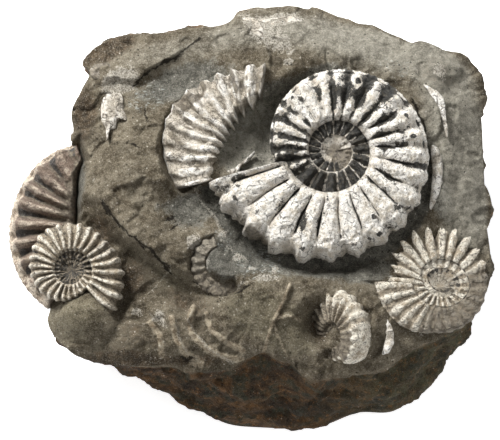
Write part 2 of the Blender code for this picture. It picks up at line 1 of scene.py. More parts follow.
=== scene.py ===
# %% [markdown]
# # A block of marlstone with ribbed ammonites
#
# The block lies on its flat underside with its fossil face up. The solids that say where every fossil sits
# are loaded as a fixed frame. Each cell after that works out one surface with numpy, or one finish with
# shader nodes: the rock, the whole coils, the broken whorls and the loose plates of shell.

# %% Load the frame
import math

import bmesh
import bpy
import numpy as np
from mathutils import Euler, Matrix, Vector


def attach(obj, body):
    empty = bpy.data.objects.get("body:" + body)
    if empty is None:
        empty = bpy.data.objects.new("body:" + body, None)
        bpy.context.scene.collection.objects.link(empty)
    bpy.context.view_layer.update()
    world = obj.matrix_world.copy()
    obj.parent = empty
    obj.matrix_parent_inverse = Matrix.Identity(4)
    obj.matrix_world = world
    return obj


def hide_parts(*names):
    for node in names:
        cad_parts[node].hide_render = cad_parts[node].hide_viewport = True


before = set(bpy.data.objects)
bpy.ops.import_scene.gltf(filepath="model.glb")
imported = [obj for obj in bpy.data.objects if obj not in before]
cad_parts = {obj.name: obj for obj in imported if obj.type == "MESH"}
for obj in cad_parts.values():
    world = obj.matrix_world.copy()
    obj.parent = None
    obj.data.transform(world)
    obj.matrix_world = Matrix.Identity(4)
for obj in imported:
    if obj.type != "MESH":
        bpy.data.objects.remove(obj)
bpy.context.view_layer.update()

MM = 0.001
DEG = math.pi / 180
FACE_HEIGHT = 50 * MM  # the middle of the fossil face above the underside

# %% [markdown]
# ## Shader maths as plain expressions
#
# A finish is mostly arithmetic on masks. Wrapping a node's output in a small class lets the sums be written
# as Python writes them, and each operator adds its own Math node. Colours are mixed with a Mix node, since a
# Math node would turn them grey.


# %% A socket that can be added and multiplied
class Value:
    """One output of a node, with the arithmetic that a finish needs."""

    def __init__(self, finish, socket):
        self.finish = finish
        self.socket = socket

    def math(self, operation, *others):
        """A Math node on this value and the others, in that order."""
        return self.finish.node("ShaderNodeMath", dict(operation=operation), (self, *others))

    def __add__(self, other):
        return self.math("ADD", other)

    def __mul__(self, other):
        return self.math("MULTIPLY", other)

    def __sub__(self, other):
        return self.math("SUBTRACT", other)

    def __rsub__(self, other):
        return self.finish.node("ShaderNodeMath", dict(operation="SUBTRACT"), (other, self))

    __radd__ = __add__
    __rmul__ = __mul__

    def size(self):
        """The value without its sign."""
        return self.math("ABSOLUTE")

    def step(self, start, end):
        """0 below start and 1 above end, with a soft rise between."""
        settings = dict(interpolation_type="SMOOTHSTEP", clamp=True)
        sockets = {"Value": self, "From Min": start, "From Max": end}
        return self.finish.node("ShaderNodeMapRange", settings, sockets)


# %% [markdown]
# ## Nodes from one method
#
# A finish is one material with one Principled shader. Every other node in it comes from `node`, which takes
# the node's type, its settings and its inputs, and the short methods below name the kinds that are used.


# %% A material and its nodes
class Finish:
    """A material with one Principled shader, and the node kinds that the finishes share."""

    def __init__(self, name):
        self.material = bpy.data.materials.new(name)
        self.material.use_nodes = True
        self.tree = self.material.node_tree
        self.shader = self.tree.nodes["Principled BSDF"]
        self.place = self.node("ShaderNodeTexCoord", {}, {}, "Object")

    def node(self, kind, settings, inputs, output=0):
        """Any node: its settings are put first, then the values or links of its sockets."""
        made = self.tree.nodes.new(kind)
        for name, setting in settings.items():
            setattr(made, name, setting)
        pairs = inputs.items() if isinstance(inputs, dict) else enumerate(inputs)
        for name, value in pairs:
            self.feed(made.inputs[name], value)
        return Value(self, made.outputs[output])

    def feed(self, socket, value):
        """Links a value to a socket, or sets the socket's own number or colour."""
        if isinstance(value, Value):
            self.tree.links.new(value.socket, socket)
        else:
            socket.default_value = value

    def attribute(self, name):
        """A number that the mesh stores at each of its points."""
        return self.node("ShaderNodeAttribute", dict(attribute_name=name), {}, "Fac")

    def noise(self, size, detail=4.0, roughness=0.6, stretch=(1, 1, 1)):
        """Cloudy noise from 0 to 1, whose blots are about size across, in metres."""
        place = self.node("ShaderNodeVectorMath", dict(operation="MULTIPLY"), (self.place, stretch))
        sockets = {"Vector": place, "Scale": 1 / size, "Detail": detail, "Roughness": roughness}
        return self.node("ShaderNodeTexNoise", {}, sockets)

    def cells(self, size, feature="F1"):
        """Distance to the nearest of many scattered points that are about size apart, in metres."""
        sockets = {"Vector": self.place, "Scale": 1 / size}
        return self.node("ShaderNodeTexVoronoi", dict(feature=feature), sockets, "Distance")

    def mix(self, factor, first, second):
        """The first colour, with the second laid over it by the factor."""
        return self.node("ShaderNodeMix", dict(data_type="RGBA"), {0: factor, 6: first, 7: second}, 2)

    def tones(self, pattern, start, end, low, high):
        """Two screen colours: from low to high as the pattern goes from start to end."""
        return self.mix(pattern.step(start, end), colour(*low), colour(*high))

    def bump(self, height, distance, strength=1.0, normal=None):
        """The surface's normal, as if it were raised by the height, which is 1 at distance metres."""
        sockets = {"Height": height, "Distance": distance, "Strength": strength}
        if normal:
            sockets["Normal"] = normal
        return self.node("ShaderNodeBump", {}, sockets)

    def wear(self, **sockets):
        """Sets the shader's sockets, with an underscore for each space in their names."""
        for name, value in sockets.items():
            self.feed(self.shader.inputs[name.replace("_", " ")], value)
        return self.material


def colour(red, green, blue):
    """A screen colour from 0 to 255, as the linear colour that a shader takes."""
    parts = [part / 255 for part in (red, green, blue)]
    linear = [part / 12.92 if part < 0.04 else ((part + 0.055) / 1.055) ** 2.4 for part in parts]
    return (*linear, 1)


# %% [markdown]
# ## Numbers that shape stone
#
# A broken rock has no formula, but soft random numbers blended over a grid come close. `noise` is gradient
# noise: every corner of a grid gets a random direction, and the height between the corners follows them.
# `fractal` lays finer and finer copies over each other, as real stone has bumps on its bumps.

# %% Noise
random = np.random.default_rng(11)
SHUFFLE = random.permutation(256)
SLOPES = random.normal(size=(256, 3))
SLOPES /= np.linalg.norm(SLOPES, axis=1, keepdims=True)
CORNERS = np.array(list(np.ndindex(2, 2, 2)))


def noise(points, cell, seed=0):
    """Gradient noise, about -1 to 1, whose bumps are about one cell wide."""
    scaled = points / cell + 17.3 * seed
    corner = np.floor(scaled).astype(int)
    part = scaled - corner
    blend = part**3 * (part * (part * 6 - 15) + 10)
    total = np.zeros(points.shape[:-1])
    for offset in CORNERS:
        x, y, z = np.moveaxis((corner + offset) & 255, -1, 0)
        pick = SHUFFLE[(SHUFFLE[(SHUFFLE[x] + y) & 255] + z) & 255]
        weight = np.where(offset, blend, 1 - blend).prod(axis=-1)
        total += weight * np.einsum("...i,...i", SLOPES[pick], part - offset)
    return 1.7 * total


def fractal(points, cell, octaves, seed=0, fade=0.5):
    """Noise with finer copies of itself on top, each half as wide and fade times as high."""
    return sum(fade**k * noise(points, cell / 2**k, seed + k) for k in range(octaves))


def smooth_step(value, start, end):
    """0 before start and 1 after end, with a smooth cubic rise between."""
    t = np.clip((value - start) / (end - start), 0, 1)
    return t * t * (3 - 2 * t)


def closed_curve(points, samples):
    """A smooth closed curve through the points (Catmull-Rom), with that many samples along it."""
    points = np.asarray(points, float)
    position = np.arange(samples) * len(points) / samples
    whole = position.astype(int)
    t = (position - whole)[:, None]
    p0, p1, p2, p3 = (points[(whole + k) % len(points)] for k in (-1, 0, 1, 2))
    bend = (2 * p0 - 5 * p1 + 4 * p2 - p3) * t**2 + (3 * p1 - p0 - 3 * p2 + p3) * t**3
    return 0.5 * (2 * p1 + (p2 - p0) * t + bend)


def line_distance(x, y, points):
    """Distance to a chain of points in mm, the side of it (+1 on its left) and the share along it."""
    points = np.array(points, float) * MM
    best = np.full(x.shape, np.inf)
    side = np.ones(x.shape)
    along = np.zeros(x.shape)
    count = len(points) - 1
    for k in range(count):
        a, d = points[k], points[k + 1] - points[k]
        t = np.clip(((x - a[0]) * d[0] + (y - a[1]) * d[1]) / (d @ d), 0, 1)
        away = np.hypot(x - a[0] - t * d[0], y - a[1] - t * d[1])
        nearer = away < best
        cross = d[0] * (y - a[1]) - d[1] * (x - a[0])
        side = np.where(nearer, np.where(cross >= 0, 1.0, -1.0), side)
        along = np.where(nearer, (k + t) / count, along)
        best = np.where(nearer, away, best)
    return best, side, along


def nearest_line(x, y, lines):
    """Distance in mm to the nearest of some chains of points, and the same with the sign of the side.

    The signed distance runs evenly through 0, so a line between two mesh points stays thin and sharp.
    """
    near = np.full(x.shape, np.inf)
    signed = np.full(x.shape, np.inf)
    for line in lines:
        away, side, _ = line_distance(x, y, line)
        signed = np.where(away < near, away * side, signed)
        near = np.minimum(near, away)
    return near / MM, signed / MM


def blob(x, y, cx, cy, half_x, half_y, turn=0):
    """1 at a spot's middle, falling to about 0.1 at its edge: an ellipse in mm, turned by degrees."""
    c, s = math.cos(turn * DEG), math.sin(turn * DEG)
    u = ((x - cx * MM) * c + (y - cy * MM) * s) / (half_x * MM)
    v = (-(x - cx * MM) * s + (y - cy * MM) * c) / (half_y * MM)
    return np.exp(-((u * u + v * v) ** 1.3))


# %% [markdown]
# ## From arrays to pieces
#
# Every piece is a mesh whose points and faces were worked out as whole arrays. `make_piece` puts them into
# Blender, stores the masks that its finish reads as attributes of the points, and hides the solids of the
# frame that the piece stands for.


# %% Make a piece
def make_piece(name, points, faces, masks, material, nodes, slot):
    """A smooth-shaded mesh object that takes the place of CAD nodes and rides with the block."""
    mesh = bpy.data.meshes.new(name)
    mesh.from_pydata(points.tolist(), [], faces)
    work = bmesh.new()
    work.from_mesh(mesh)
    bmesh.ops.recalc_face_normals(work, faces=work.faces)
    work.to_mesh(mesh)
    work.free()
    mesh.shade_smooth()
    for mask, values in masks.items():
        mesh.attributes.new(mask, "FLOAT", "POINT").data.foreach_set("value", values.ravel())
    mesh.materials.append(material)
    piece = bpy.data.objects.new(name, mesh)
    bpy.context.scene.collection.objects.link(piece)
    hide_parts(*nodes)
    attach(piece, "root")
    print(f"{name}: {len(mesh.vertices)} points, {sum(len(p.vertices) - 2 for p in mesh.polygons)} triangles")


def grid_faces(index, closed=False):
    """Four-cornered faces between the rows of a grid of point numbers.

    Closed joins the last column of the grid to its first.
    """
    if closed:
        index = np.concatenate((index, index[:, :1]), axis=1)
    quads = np.stack((index[:-1, :-1], index[1:, :-1], index[1:, 1:], index[:-1, 1:]), axis=-1)
    return quads.reshape(-1, 4).tolist()


# %% [markdown]
# ## The measures of the fossils
#
# An ammonite grows by the same factor on every turn, so its outer edge is a logarithmic spiral. A coil is
# described by the place of its centre, its radius at the mouth, the angle of the mouth, and how fast it
# grows. These are the same measures that shaped the solids.


# %% The coils
class Coil:
    """The measures of one ammonite. Lengths are in metres and angles in radians."""

    def __init__(self, place, radius, mouth, turns, rows, rows_per_rib, growth=2.0, seam=0.40,
                 thickness=0.23, depth=6 * MM, tilt=(0, 0), stretch=(1, 1, 1, 1, 1)):
        self.place = np.array(place) * MM
        self.radius = radius * MM
        self.mouth = mouth * DEG
        self.turns = turns
        self.rows = rows
        self.rows_per_rib = rows_per_rib
        self.growth = growth
        self.seam = seam
        self.thickness = thickness
        self.depth = depth
        self.tilt = tilt
        self.stretch = stretch

    def outer_radius(self, turn):
        """The outer radius after that many turns: it shrinks by the growth factor with each turn back."""
        return self.radius * self.growth ** (turn - self.turns)

    def rim_stretch(self, turn):
        """How much the rim of the last turn is drawn out: it is given at each quarter of that turn."""
        return np.interp(turn - self.turns + 1, np.linspace(0, 1, 5), self.stretch)

    def angle(self, turn):
        """The plan angle after that many turns; the coils here all grow clockwise."""
        return self.mouth + (self.turns - turn) * 2 * math.pi

    def covered(self):
        """Share across a whorl where the next turn's seam lies on it."""
        return self.seam * (self.growth - 1) / (1 - self.seam)

    def matrix(self):
        """The matrix from the coil's own frame to the block's."""
        return tilted_place(self.place / MM, self.tilt)

    def beyond(self, x, y):
        """How far points of the block lie outside the coil's outline, and its middle plane's height there."""
        normal = np.array(self.matrix().to_3x3().col[2])
        dx, dy = x - self.place[0], y - self.place[1]
        dz = -(normal[0] * dx + normal[1] * dy) / normal[2]
        turned = np.stack((dx, dy, dz), axis=-1) @ np.array(self.matrix().to_3x3())
        back = np.mod(np.arctan2(turned[..., 1], turned[..., 0]) - self.mouth, 2 * math.pi) / (2 * math.pi)
        turn = self.turns - back
        reach = np.hypot(turned[..., 0], turned[..., 1])
        return reach - self.outer_radius(turn) * self.rim_stretch(turn), self.place[2] + dz


def whorl_matrix(whorl):
    """The matrix from an arc's own frame to the block's."""
    return tilted_place(whorl["centre"], whorl["tilt"])


def tilted_place(place, tilt):
    """The matrix from a fossil's own frame to the block's: its place in mm, and its tilt in degrees."""
    x, y, z = np.array(place) * MM
    turn = Euler((tilt[0] * DEG, tilt[1] * DEG, 0)).to_matrix().to_4x4()
    return Matrix.Translation((x, y, z + FACE_HEIGHT)) @ turn


# %% [markdown]
# ## The seven fossils in numbers
#
# Four shells are whole coils. Three show only an arc, so they have an outer and an inner radius at a few
# angles instead of a spiral. Places and lengths are in mm, angles and tilts in degrees.

# %% The measures of the coils and arcs
LARGE_COIL = Coil((25.2, 14.2, 1.5), 38.5, 194.5, 2.5, 73, 3, seam=0.38, tilt=(5, 0), depth=7 * MM,
                  stretch=(0.92, 1.03, 1.0, 0.98, 1.0))
SMALL_LEFT_COIL = Coil((-53.5, -20.8, -5.5), 17.2, -50, 2.5, 53, 2, growth=1.7, thickness=0.27, depth=4 * MM,
                       tilt=(6, -8), stretch=(0.72, 0.97, 1.1, 0.89, 1.05))
RIGHT_COIL = Coil((56.4, -26.2, -3.5), 18.3, 177, 2.5, 49, 2, growth=1.9, seam=0.44, thickness=0.17,
                  depth=4 * MM, tilt=(4, 7), stretch=(1.45, 1.6, 1.0, 0.92, 1.03))
TILTED_COIL = Coil((26.5, -40.8, -4.8), 12.6, -65, 2.5, 45, 2, growth=1.7, thickness=0.32, depth=5 * MM,
                   tilt=(14, -50), stretch=(1, 1.0, 1.5, 1.15, 0.8))
BROKEN_WHORL = dict(centre=(1.1, 14.5, 1.0), angles=(82, 101, 118, 136, 153, 172, 190, 211),
                    outer=(26.8, 25.4, 25.6, 27, 28.1, 27.9, 26.6, 25.2),
                    inner=(17.8, 14.4, 12.3, 11.2, 10.8, 10.8, 12.5, 16),
                    half=4.6, ribs=11, depth=4.5, tilt=(2, -6))
LEFT_WHORL = dict(centre=(-42.9, -7.0, -13.0), angles=(110, 128, 150, 180, 210, 232),
                  outer=(28, 29.7, 29.7, 29.7, 29.7, 29.2),
                  inner=(23, 15, 11, 9.5, 9.5, 9.5), half=6.4, ribs=9, depth=5, tilt=(0, -9))
BURIED_WHORL = dict(centre=(-8.0, -19.6, -2.2), angles=(110, 150, 190, 230, 270, 300),
                    outer=(9, 9.8, 10, 10, 9.8, 9.5),
                    inner=(5.2, 5.2, 5.2, 5.4, 5.6, 6), half=2.6, ribs=9, depth=3, tilt=(0, 0))
print("the large coil is", round(2 * LARGE_COIL.radius / MM * (1 + 0.5**0.5) / 2), "mm across")

# %% [markdown]
# ## The rock
#
# The face was broken open along the fossils, then scraped clear round them with a tool. So its height is a
# sum: wide swells and hollows, ledges where a layer ends, ridges and cracks, a trench round each coil, and
# random roughness that is weak where the tool went. The same places also say where the colour changes.

# %% The rim and the foot
RIM = np.array([
    (71, 4, -9), (70.5, 16.5, -9), (70, 28.5, -8), (67, 38, -7), (64, 43, -6), (58.5, 47.5, -6),
    (52.5, 50, -5), (47.5, 49.5, -5), (38.5, 53.5, -6), (31, 55, -6), (24, 57.5, -6), (17, 60.5, -7),
    (12, 61.5, -7), (6, 61, -7), (0.5, 60, -6), (-3.5, 58, -5), (-8, 55, -4), (-17.5, 53, -3),
    (-25.5, 52.5, -3), (-33.5, 51.5, -3), (-41.5, 51, -4), (-46, 48.5, -5), (-50.5, 44, -5),
    (-48.5, 40, -4), (-51, 35, -5), (-54, 28.5, -7), (-53.5, 22, -9), (-56, 17, -14), (-63.5, 10.5, -17),
    (-68, 4, -18), (-70, -4, -19), (-69.5, -12, -19), (-67, -19, -18), (-63, -26, -16), (-59.5, -29.5, -14),
    (-60.5, -35.5, -12), (-56.5, -42, -12), (-51.5, -46, -12), (-41.5, -48.5, -11), (-30, -49, -10),
    (-20, -47.5, -9), (-12, -48.5, -8), (-4, -48.5, -8), (4, -46, -6), (11.5, -47, -6), (16, -50.5, -7),
    (27.5, -52, -8), (34, -52, -8), (40, -50, -7), (47.5, -44, -6), (57, -40, -7), (64.5, -35, -8),
    (68.5, -30.5, -10), (72, -24, -11), (72.5, -15, -10), (71.2, -5, -9),
]) * MM  # the rim of the face, anticlockwise from the right, with its height over the middle of the face
BASE = np.array([
    (66, 0), (65, 20), (60, 36), (48, 44), (30, 49), (10, 55), (-8, 50), (-27, 47), (-41, 42), (-48, 33),
    (-50, 20), (-54, 10), (-58, -6), (-56, -22), (-50, -33), (-41, -41.5), (-29, -48), (-17.5, -54),
    (-8, -60), (3, -61.5), (20, -61.5), (33, -57), (45, -56), (57, -45), (65, -31), (67, -16),
]) * MM  # the edge of the flat underside
FACE_CENTRE = np.array((4.0, 4.0)) * MM
BASE_EDGE = 2.5 * MM
BASE_INSET = 1.5 * MM

# %% [markdown]
# ## The large forms of the face
#
# A swell or a hollow is a soft ellipse. A ledge is a line with one side higher than the other, as where a
# layer of the rock ends. A ridge or a crack is a line that stands up or cuts in by itself. With these three
# kinds the whole face can be listed in short tables, which are easy to move and to correct.

# %% Swells, ledges and ridges
# Swells and hollows: x, y, half width, half depth (mm), turn (degrees), height (mm)
SWELLS = [
    (-1.5, 19, 10.5, 14, 0, -7),
    (10, 31, 13, 5, 28, -4),
    (-21, 36.5, 13, 5, 18, -3),
    (-18, -3.5, 10, 7, 10, -4),
    (-1, -12, 9, 10, 30, -5),
    (28, -19, 20, 5, -4, -4),
    (20.5, -37.5, 4.5, 6.5, 0, -9),
    (32, -45.5, 4.5, 4, 0, 2.5),
    (-30, 10, 14, 10, 0, 3),
    (-33, -12, 12, 5, -42, 2.5),
    (-35, -27, 13, 9, -35, -4),
    (-52.5, -35.5, 10, 8.5, 0, 7),
    (-38, -44.5, 4.5, 3.5, 0, 2.5),
    (8, -35, 14, 9, -12, 2.5),
    (38.5, -37, 5, 9, 15, 3),
    (30, 46, 26, 8, -14, 3),
    (60, 25, 10, 20, 5, 2.5),
    (36, -40.5, 3.5, 7, 10, 3),
    (-34, -33.5, 2.2, 1.8, 0, 1.5),
    (-29, -33.5, 2, 1.8, 0, 1.5),
    (-24, -38, 1.8, 2.4, 30, 1.2),
    (-38, -45, 2.5, 1.8, 0, 1.5),
    (51.3, -39.6, 1.5, 1.8, 0, 1.5),
    (57, 39, 3.5, 4, 20, 1.5),
    (-16.5, -20, 4.5, 9, 0, -2.5),
]
# Ledges: the points of an edge, how far its left side stands above its right side, and its width (mm)
LEDGES = [
    ([(-17, 48.5), (-22.5, 43.9), (-30.3, 39.6), (-34.2, 36.2), (-41, 37), (-53, 34)], -2.6, 0.8),
    ([(-50, 3), (-44, -4), (-36, -14), (-25, -22), (-17, -26), (-3, -28.5)], 6.0, 2.0),
    ([(-51, 18), (-49.5, 9), (-51.5, -1)], 5.0, 1.2),
    ([(-15, 1), (-7, -13), (0, -20)], 1.4, 1.0),
]
# Ridges (above 0) and cracks (below 0): points, height and half width (mm)
RIDGES = [
    ([(-17, -33), (-18.4, -37), (-17, -41.5), (-13, -45), (-8, -47), (-2.5, -48)], 2.6, 1.2),
    ([(-23.5, -36), (-22, -42.5), (-18.5, -46.5), (-14.5, -48)], 2.2, 1.2),
    ([(-13, -35), (-11.5, -40), (-6.5, -43.5), (-2, -45.5)], 1.6, 1.0),
    ([(-30, -37), (-27, -41), (-26.5, -46)], 1.6, 1.2),
    ([(12, -26.8), (10, -32), (7, -37.6), (4.2, -45.5)], 1.5, 0.7),
    ([(7, -37.6), (11, -36.2), (15, -37)], 1.0, 0.7),
    ([(7, -37.6), (8.4, -42), (11, -47)], 1.0, 0.7),
    ([(14.5, -51), (21, -52), (28, -53.5), (34, -53), (41, -51)], -2.0, 0.9),
]


# %% [markdown]
# ## The height of the face
#
# Height is a plain sum, so every form can be worked out alone. The random relief that the solid already has
# is worked out in the same way here, so that the fine surface follows the solid closely.


# %% The height of the face
def value_noise(points, cell, seed):
    """The solids' own coarse relief: random values at the corners of a grid, blended between them.

    Large primes and shifted bits scatter the numbers of a corner into its random value.
    """
    scaled = points / cell
    corner = np.floor(scaled).astype(np.int64)
    part = scaled - corner
    part = part * part * (3 - 2 * part)
    total = np.zeros(points.shape[:-1])
    for offset in CORNERS:
        i, j, k = np.moveaxis(corner + offset, -1, 0)
        mixed = i * 73856093 ^ j * 19349663 ^ k * 83492791 ^ seed * 2654435761
        mixed = (mixed ^ (mixed >> 13)) * 1274126177 & 0xFFFFFFFF
        number = (mixed ^ (mixed >> 16)) % 65536 / 32767.5 - 1
        total += np.where(offset, part, 1 - part).prod(axis=-1) * number
    return total


def ledge_height(x, y, points, height, width):
    """Half the height up on the left of an edge and half down on its right, fading away from it."""
    away, side, along = line_distance(x, y, points)
    fade = smooth_step(along, -0.02, 0.18) * (1 - smooth_step(along, 0.85, 1.02))
    fade = fade * np.exp(-(away / (16 * MM)) ** 2)
    return 0.5 * height * MM * side * fade * smooth_step(away, 0, width * MM)


def moat(x, y, coil, near, far):
    """1 in the trench round a coil, up to near metres beyond its outline, and 0 from far on."""
    return 1 - smooth_step(coil.beyond(x, y)[0], near, far)


# The trench round the large coil fades out here: x, y, half width, half depth (mm), turn (degrees)
TRENCH_FADE = (48, 38, 24, 18, -45)


def face_relief(x, y):
    """Height of the face over its middle plane, before its rim drops: the sum of all its features."""
    z = np.full(x.shape, 2.0 * MM)
    for cx, cy, half_x, half_y, turn, height in SWELLS:
        z = z + height * MM * blob(x, y, cx, cy, half_x, half_y, turn)
    for points, height, width in LEDGES:
        z = z + ledge_height(x, y, points, height, width)
    for points, height, half_width in RIDGES:
        away = line_distance(x, y, points)[0]
        z = z + height * MM * np.exp(-(away / (half_width * MM)) ** 2)
    z = z - 3.5 * MM * moat(x, y, LARGE_COIL, 1 * MM, 6 * MM) * (1 - 0.8 * blob(x, y, *TRENCH_FADE))
    z = z - 3 * MM * moat(x, y, SMALL_LEFT_COIL, 1 * MM, 5 * MM)
    return z - 1.5 * MM * moat(x, y, RIGHT_COIL, 1 * MM, 5 * MM)


# %% [markdown]
# ## Where the face changes its look
#
# The tool laid bare blue-grey stone, the front has smooth olive facets, and brown and pale patches lie
# between them. Each is a soft ellipse with a strength, which says as much as a painted map would in far
# fewer numbers. Thin cracks and lines of shell are chains of points instead.

# %% The places where the face changes its look
# Each spot here is x, y, half width, half depth (mm), turn (degrees) and strength
# Scraped, blue-grey zones
SCRAPED = [
    (-20, 36, 15, 6, 18, 1.0),
    (-1, 21, 11, 14, 0, 1.1),
    (9, 32, 14, 5, 28, 1.0),
    (-18, -2.5, 10, 6, 10, 0.9),
    (2, -14, 12, 9, 10, 1.0),
    (26, -20, 22, 6, -4, 1.0),
    (57, 4, 4, 13, 8, 0.9),
    (-8, -19, 6, 6, 0, 1.0),
    (-51.5, 7, 2.2, 14, 0, 0.8),
    (22, -35, 5, 6, 0, 0.5),
]
# Plain stretches where the face has no crumbs, and lighter stretches of the face; the last of these, in the
# hollow between the broken whorl and the large coil, is painted light that lifts the whorl's shadow
PLAIN = [
    (-24, 45, 20, 7, 12, 1.0),
    (8, 55, 14, 5, 0, 0.8),
    (40, 47, 20, 7, -16, 0.8),
    (64, 10, 6, 20, 0, 0.5),
]
LIGHT = [
    (62, 20, 10, 26, 8, 1.1),
    (36, 48, 30, 9, -14, 0.9),
    (-22, 46, 22, 6, 12, 0.5),
    (2, 52, 14, 7, 0, 0.4),
    (-33, 4, 9, 12, 0, 0.2),
    (65, -4, 7, 14, 0, 0.8),
    # painted light: brightens the hollow that lies in the broken whorl's shadow
    (-1, 20, 10, 13, 0, 1.3),
]
# Stretches strewn with short light flecks
FLECKED = [
    (-31, 31.5, 7, 4.5, 12, 1.0),
    (-9, -12, 5, 5, 0, 0.7),
    (44, 40, 9, 5, -30, 0.5),
    (3, -20, 8, 6, 0, 0.9),
]
# Smooth olive-grey facets of the front
OLIVE = [
    (3, -35, 13, 9, -10, 1.0),
    (-24, -24, 10, 5, -30, 0.6),
    (-52, -35, 10, 9, 0, 0.9),
    (14, -44, 7, 5, 0, 0.7),
]
# Pale, shelly patches in the rock
PALE = [
    (-39.5, 36.4, 6, 3.5, 20, 1.2),
    (5, 51.5, 10, 5, -38, 0.9),
    (12, 57, 7, 2.5, 0, 0.7),
    (57, 39.5, 2.5, 3.5, 20, 0.8),
    (-16.5, -13.6, 3, 3, 0, 0.8),
    (-14, -19, 4, 3, 0, 0.6),
    (4.2, -24.3, 4, 1.6, -8, 0.9),
    (-33.6, -33.5, 2.5, 2, 0, 0.8),
    (-27, -36, 3, 4, 30, 0.6),
    (51.3, -39.6, 1.5, 1.5, 0, 0.8),
    (11.4, 42, 1.6, 1, 0, 0.7),
    (26, 49, 4, 1.2, -30, 0.4),
    (-8, -10.5, 1.8, 1.2, 40, 0.9),
    (-4, -17.5, 1.8, 1.2, 30, 1.0),
    (7.5, -21.5, 1.2, 1.6, 0, 0.9),
    (0.5, -21, 1.2, 0.8, 0, 0.9),
    (-30, -46, 5, 4, 0, 0.4),
]
# Brown, darker patches
BROWN = [
    (-38, -22, 9, 6, -30, 0.8),
    (-45, -8, 5, 6, 0, 0.7),
    (21, -37, 3.5, 6, 0, 1.0),
    (-20, -30, 8, 4, -20, 0.5),
    (-43.5, 47, 9, 3.2, 24, 1.4),
    (-50, 28, 4, 8, 0, 1.0),
    (-60, 8, 5, 5, 0, 0.8),
    (57, 39, 4.5, 5, 20, 0.5),
    (-34, -40, 9, 8, 0, 0.35),
    (-12, -40, 14, 8, 0, 0.3),
    (-38, -47.5, 14, 2.2, -4, 1.0),
    (-16, -48, 12, 1.8, 0, 0.7),
    (8.5, -36, 1.6, 6, -18, 0.7),
]
# Thin cracks and short gashes, as chains of points, painted dark as the shade in them and at the feet of
# ledges
CRACKS = [
    [(-15.5, 50), (-17.7, 47.6), (-22.5, 43.9), (-30.3, 39.6), (-35.5, 35.4)],
    [(-23.5, -22.5), (-29, -17.5), (-36, -11.5), (-41, -6), (-44, -1.5)],
    [(14.5, -51), (21, -52), (28, -53.5), (34, -53), (41, -51)],
    [(49, 30), (52, 24), (53.5, 17)],
    [(-24.6, -6.4), (-23.2, -5.6)],
    [(-20.5, -46.8), (-17.2, -47.2)],
    [(-22.8, -9), (-21.6, -8.2)],
    [(-31.5, 26.6), (-31.3, 25)],
    [(-35.6, 16.2), (-34.2, 15.6)],
    [(53.6, -8), (55.6, -12), (54.8, -15)],
    [(-16, -25.8), (-13, -28.2), (-8, -29.2), (-4, -29), (-0.5, -27)],
]
# Thin pale lines of shell in the rock
SHELL_LINES = [
    [(-17, -33), (-18.3, -36.6), (-16.8, -40.2), (-13, -44.5), (-8.4, -47.3), (-2.7, -49)],
    [(-22, -38), (-21.3, -42.4), (-18.6, -46.1), (-15, -48.2)],
    [(-16.8, 3), (-13.8, -1), (-9.9, -5.9), (-8.4, -12.6), (-3.6, -16.9), (-1.5, -18.2)],
    [(-15, -26.7), (-11.7, -27.1), (-6.6, -28), (-0.9, -25.8)],
    [(-24.3, -22), (-29.7, -26.7)],
]


def paint(x, y, spots):
    """The spots of one colour added up, and held between 0 and 1."""
    return np.clip(sum(spot[-1] * blob(x, y, *spot[:-1]) for spot in spots), 0, 1)


# %% [markdown]
# ## A limit over the fossils
#
# Random relief could rise up through a shell. So the rock gets an upper limit just under each fossil's middle
# plane, which rises steeply outside its outline and soon has no effect.

# %% How high the rock may be
NO_LIMIT = 40 * MM  # how high the limit that fossils set to the rock rises away from them


def fossil_floor(x, y):
    """The highest that the rock may be, just under each fossil's middle plane, so that none drowns in it."""
    coils = ((LARGE_COIL, 3 * MM), (SMALL_LEFT_COIL, 1 * MM), (RIGHT_COIL, 1 * MM))
    whorls = ((BROKEN_WHORL, 1 * MM), (LEFT_WHORL, 1.5 * MM), (BURIED_WHORL, 0.2 * MM))
    fossils = [(coil.beyond(x, y), depth) for coil, depth in coils]
    fossils += [(whorl_beyond(x, y, whorl), depth) for whorl, depth in whorls]
    floor = np.full(x.shape, 1.0)
    for (beyond, plane), depth in fossils:
        floor = np.minimum(floor, plane - depth + NO_LIMIT * smooth_step(beyond, -1.2 * MM, 9 * MM))
    return floor


def whorl_beyond(x, y, whorl):
    """How far points lie outside an arc of a whorl, and the height of its middle plane there."""
    normal = whorl_matrix(whorl).to_3x3().col[2]
    dx, dy = x - whorl["centre"][0] * MM, y - whorl["centre"][1] * MM
    angle = np.mod(np.arctan2(dy, dx) / DEG, 360)
    reach = np.hypot(dx, dy)
    outer = np.interp(angle, whorl["angles"], whorl["outer"]) * MM
    inner = np.interp(angle, whorl["angles"], whorl["inner"]) * MM
    past_end = np.maximum(whorl["angles"][0] - angle, angle - whorl["angles"][-1]) * DEG * reach
    plane = whorl["centre"][2] * MM - (normal[0] * dx + normal[1] * dy) / normal[2]
    return np.maximum.reduce((reach - outer, inner - reach, past_end)), plane


# %% [markdown]
# ## The face as a bent grid
#
# A grid has four corners, and the block has none. Rings of points round a pole would fit, but their cells
# would crowd together in the middle. So a square grid is bent until its border lies on the rim, and its cells
# stay about even in size.

# %% The face as a bent grid
FACE_CELLS = 232  # cells along each side of the square that is bent to the rim
OUTLINE_SAMPLES = 1500


def square_to_disc(cells):
    """A square grid bent to a disc: each point's share of the way to the rim, and its bearing."""
    u, v = np.meshgrid(np.linspace(-1, 1, cells + 1), np.linspace(-1, 1, cells + 1), indexing="ij")
    share = np.maximum(np.abs(u), np.abs(v))
    wide = np.abs(u) >= np.abs(v)
    slope_u = np.divide(v, u, out=np.zeros_like(u), where=wide & (u != 0))
    slope_v = np.divide(u, v, out=np.zeros_like(u), where=~wide)
    angle = np.where(wide, slope_u * math.pi / 4, math.pi / 2 - slope_v * math.pi / 4)
    return share, np.mod(angle + np.where(np.where(wide, u, v) < 0, math.pi, 0), 2 * math.pi)


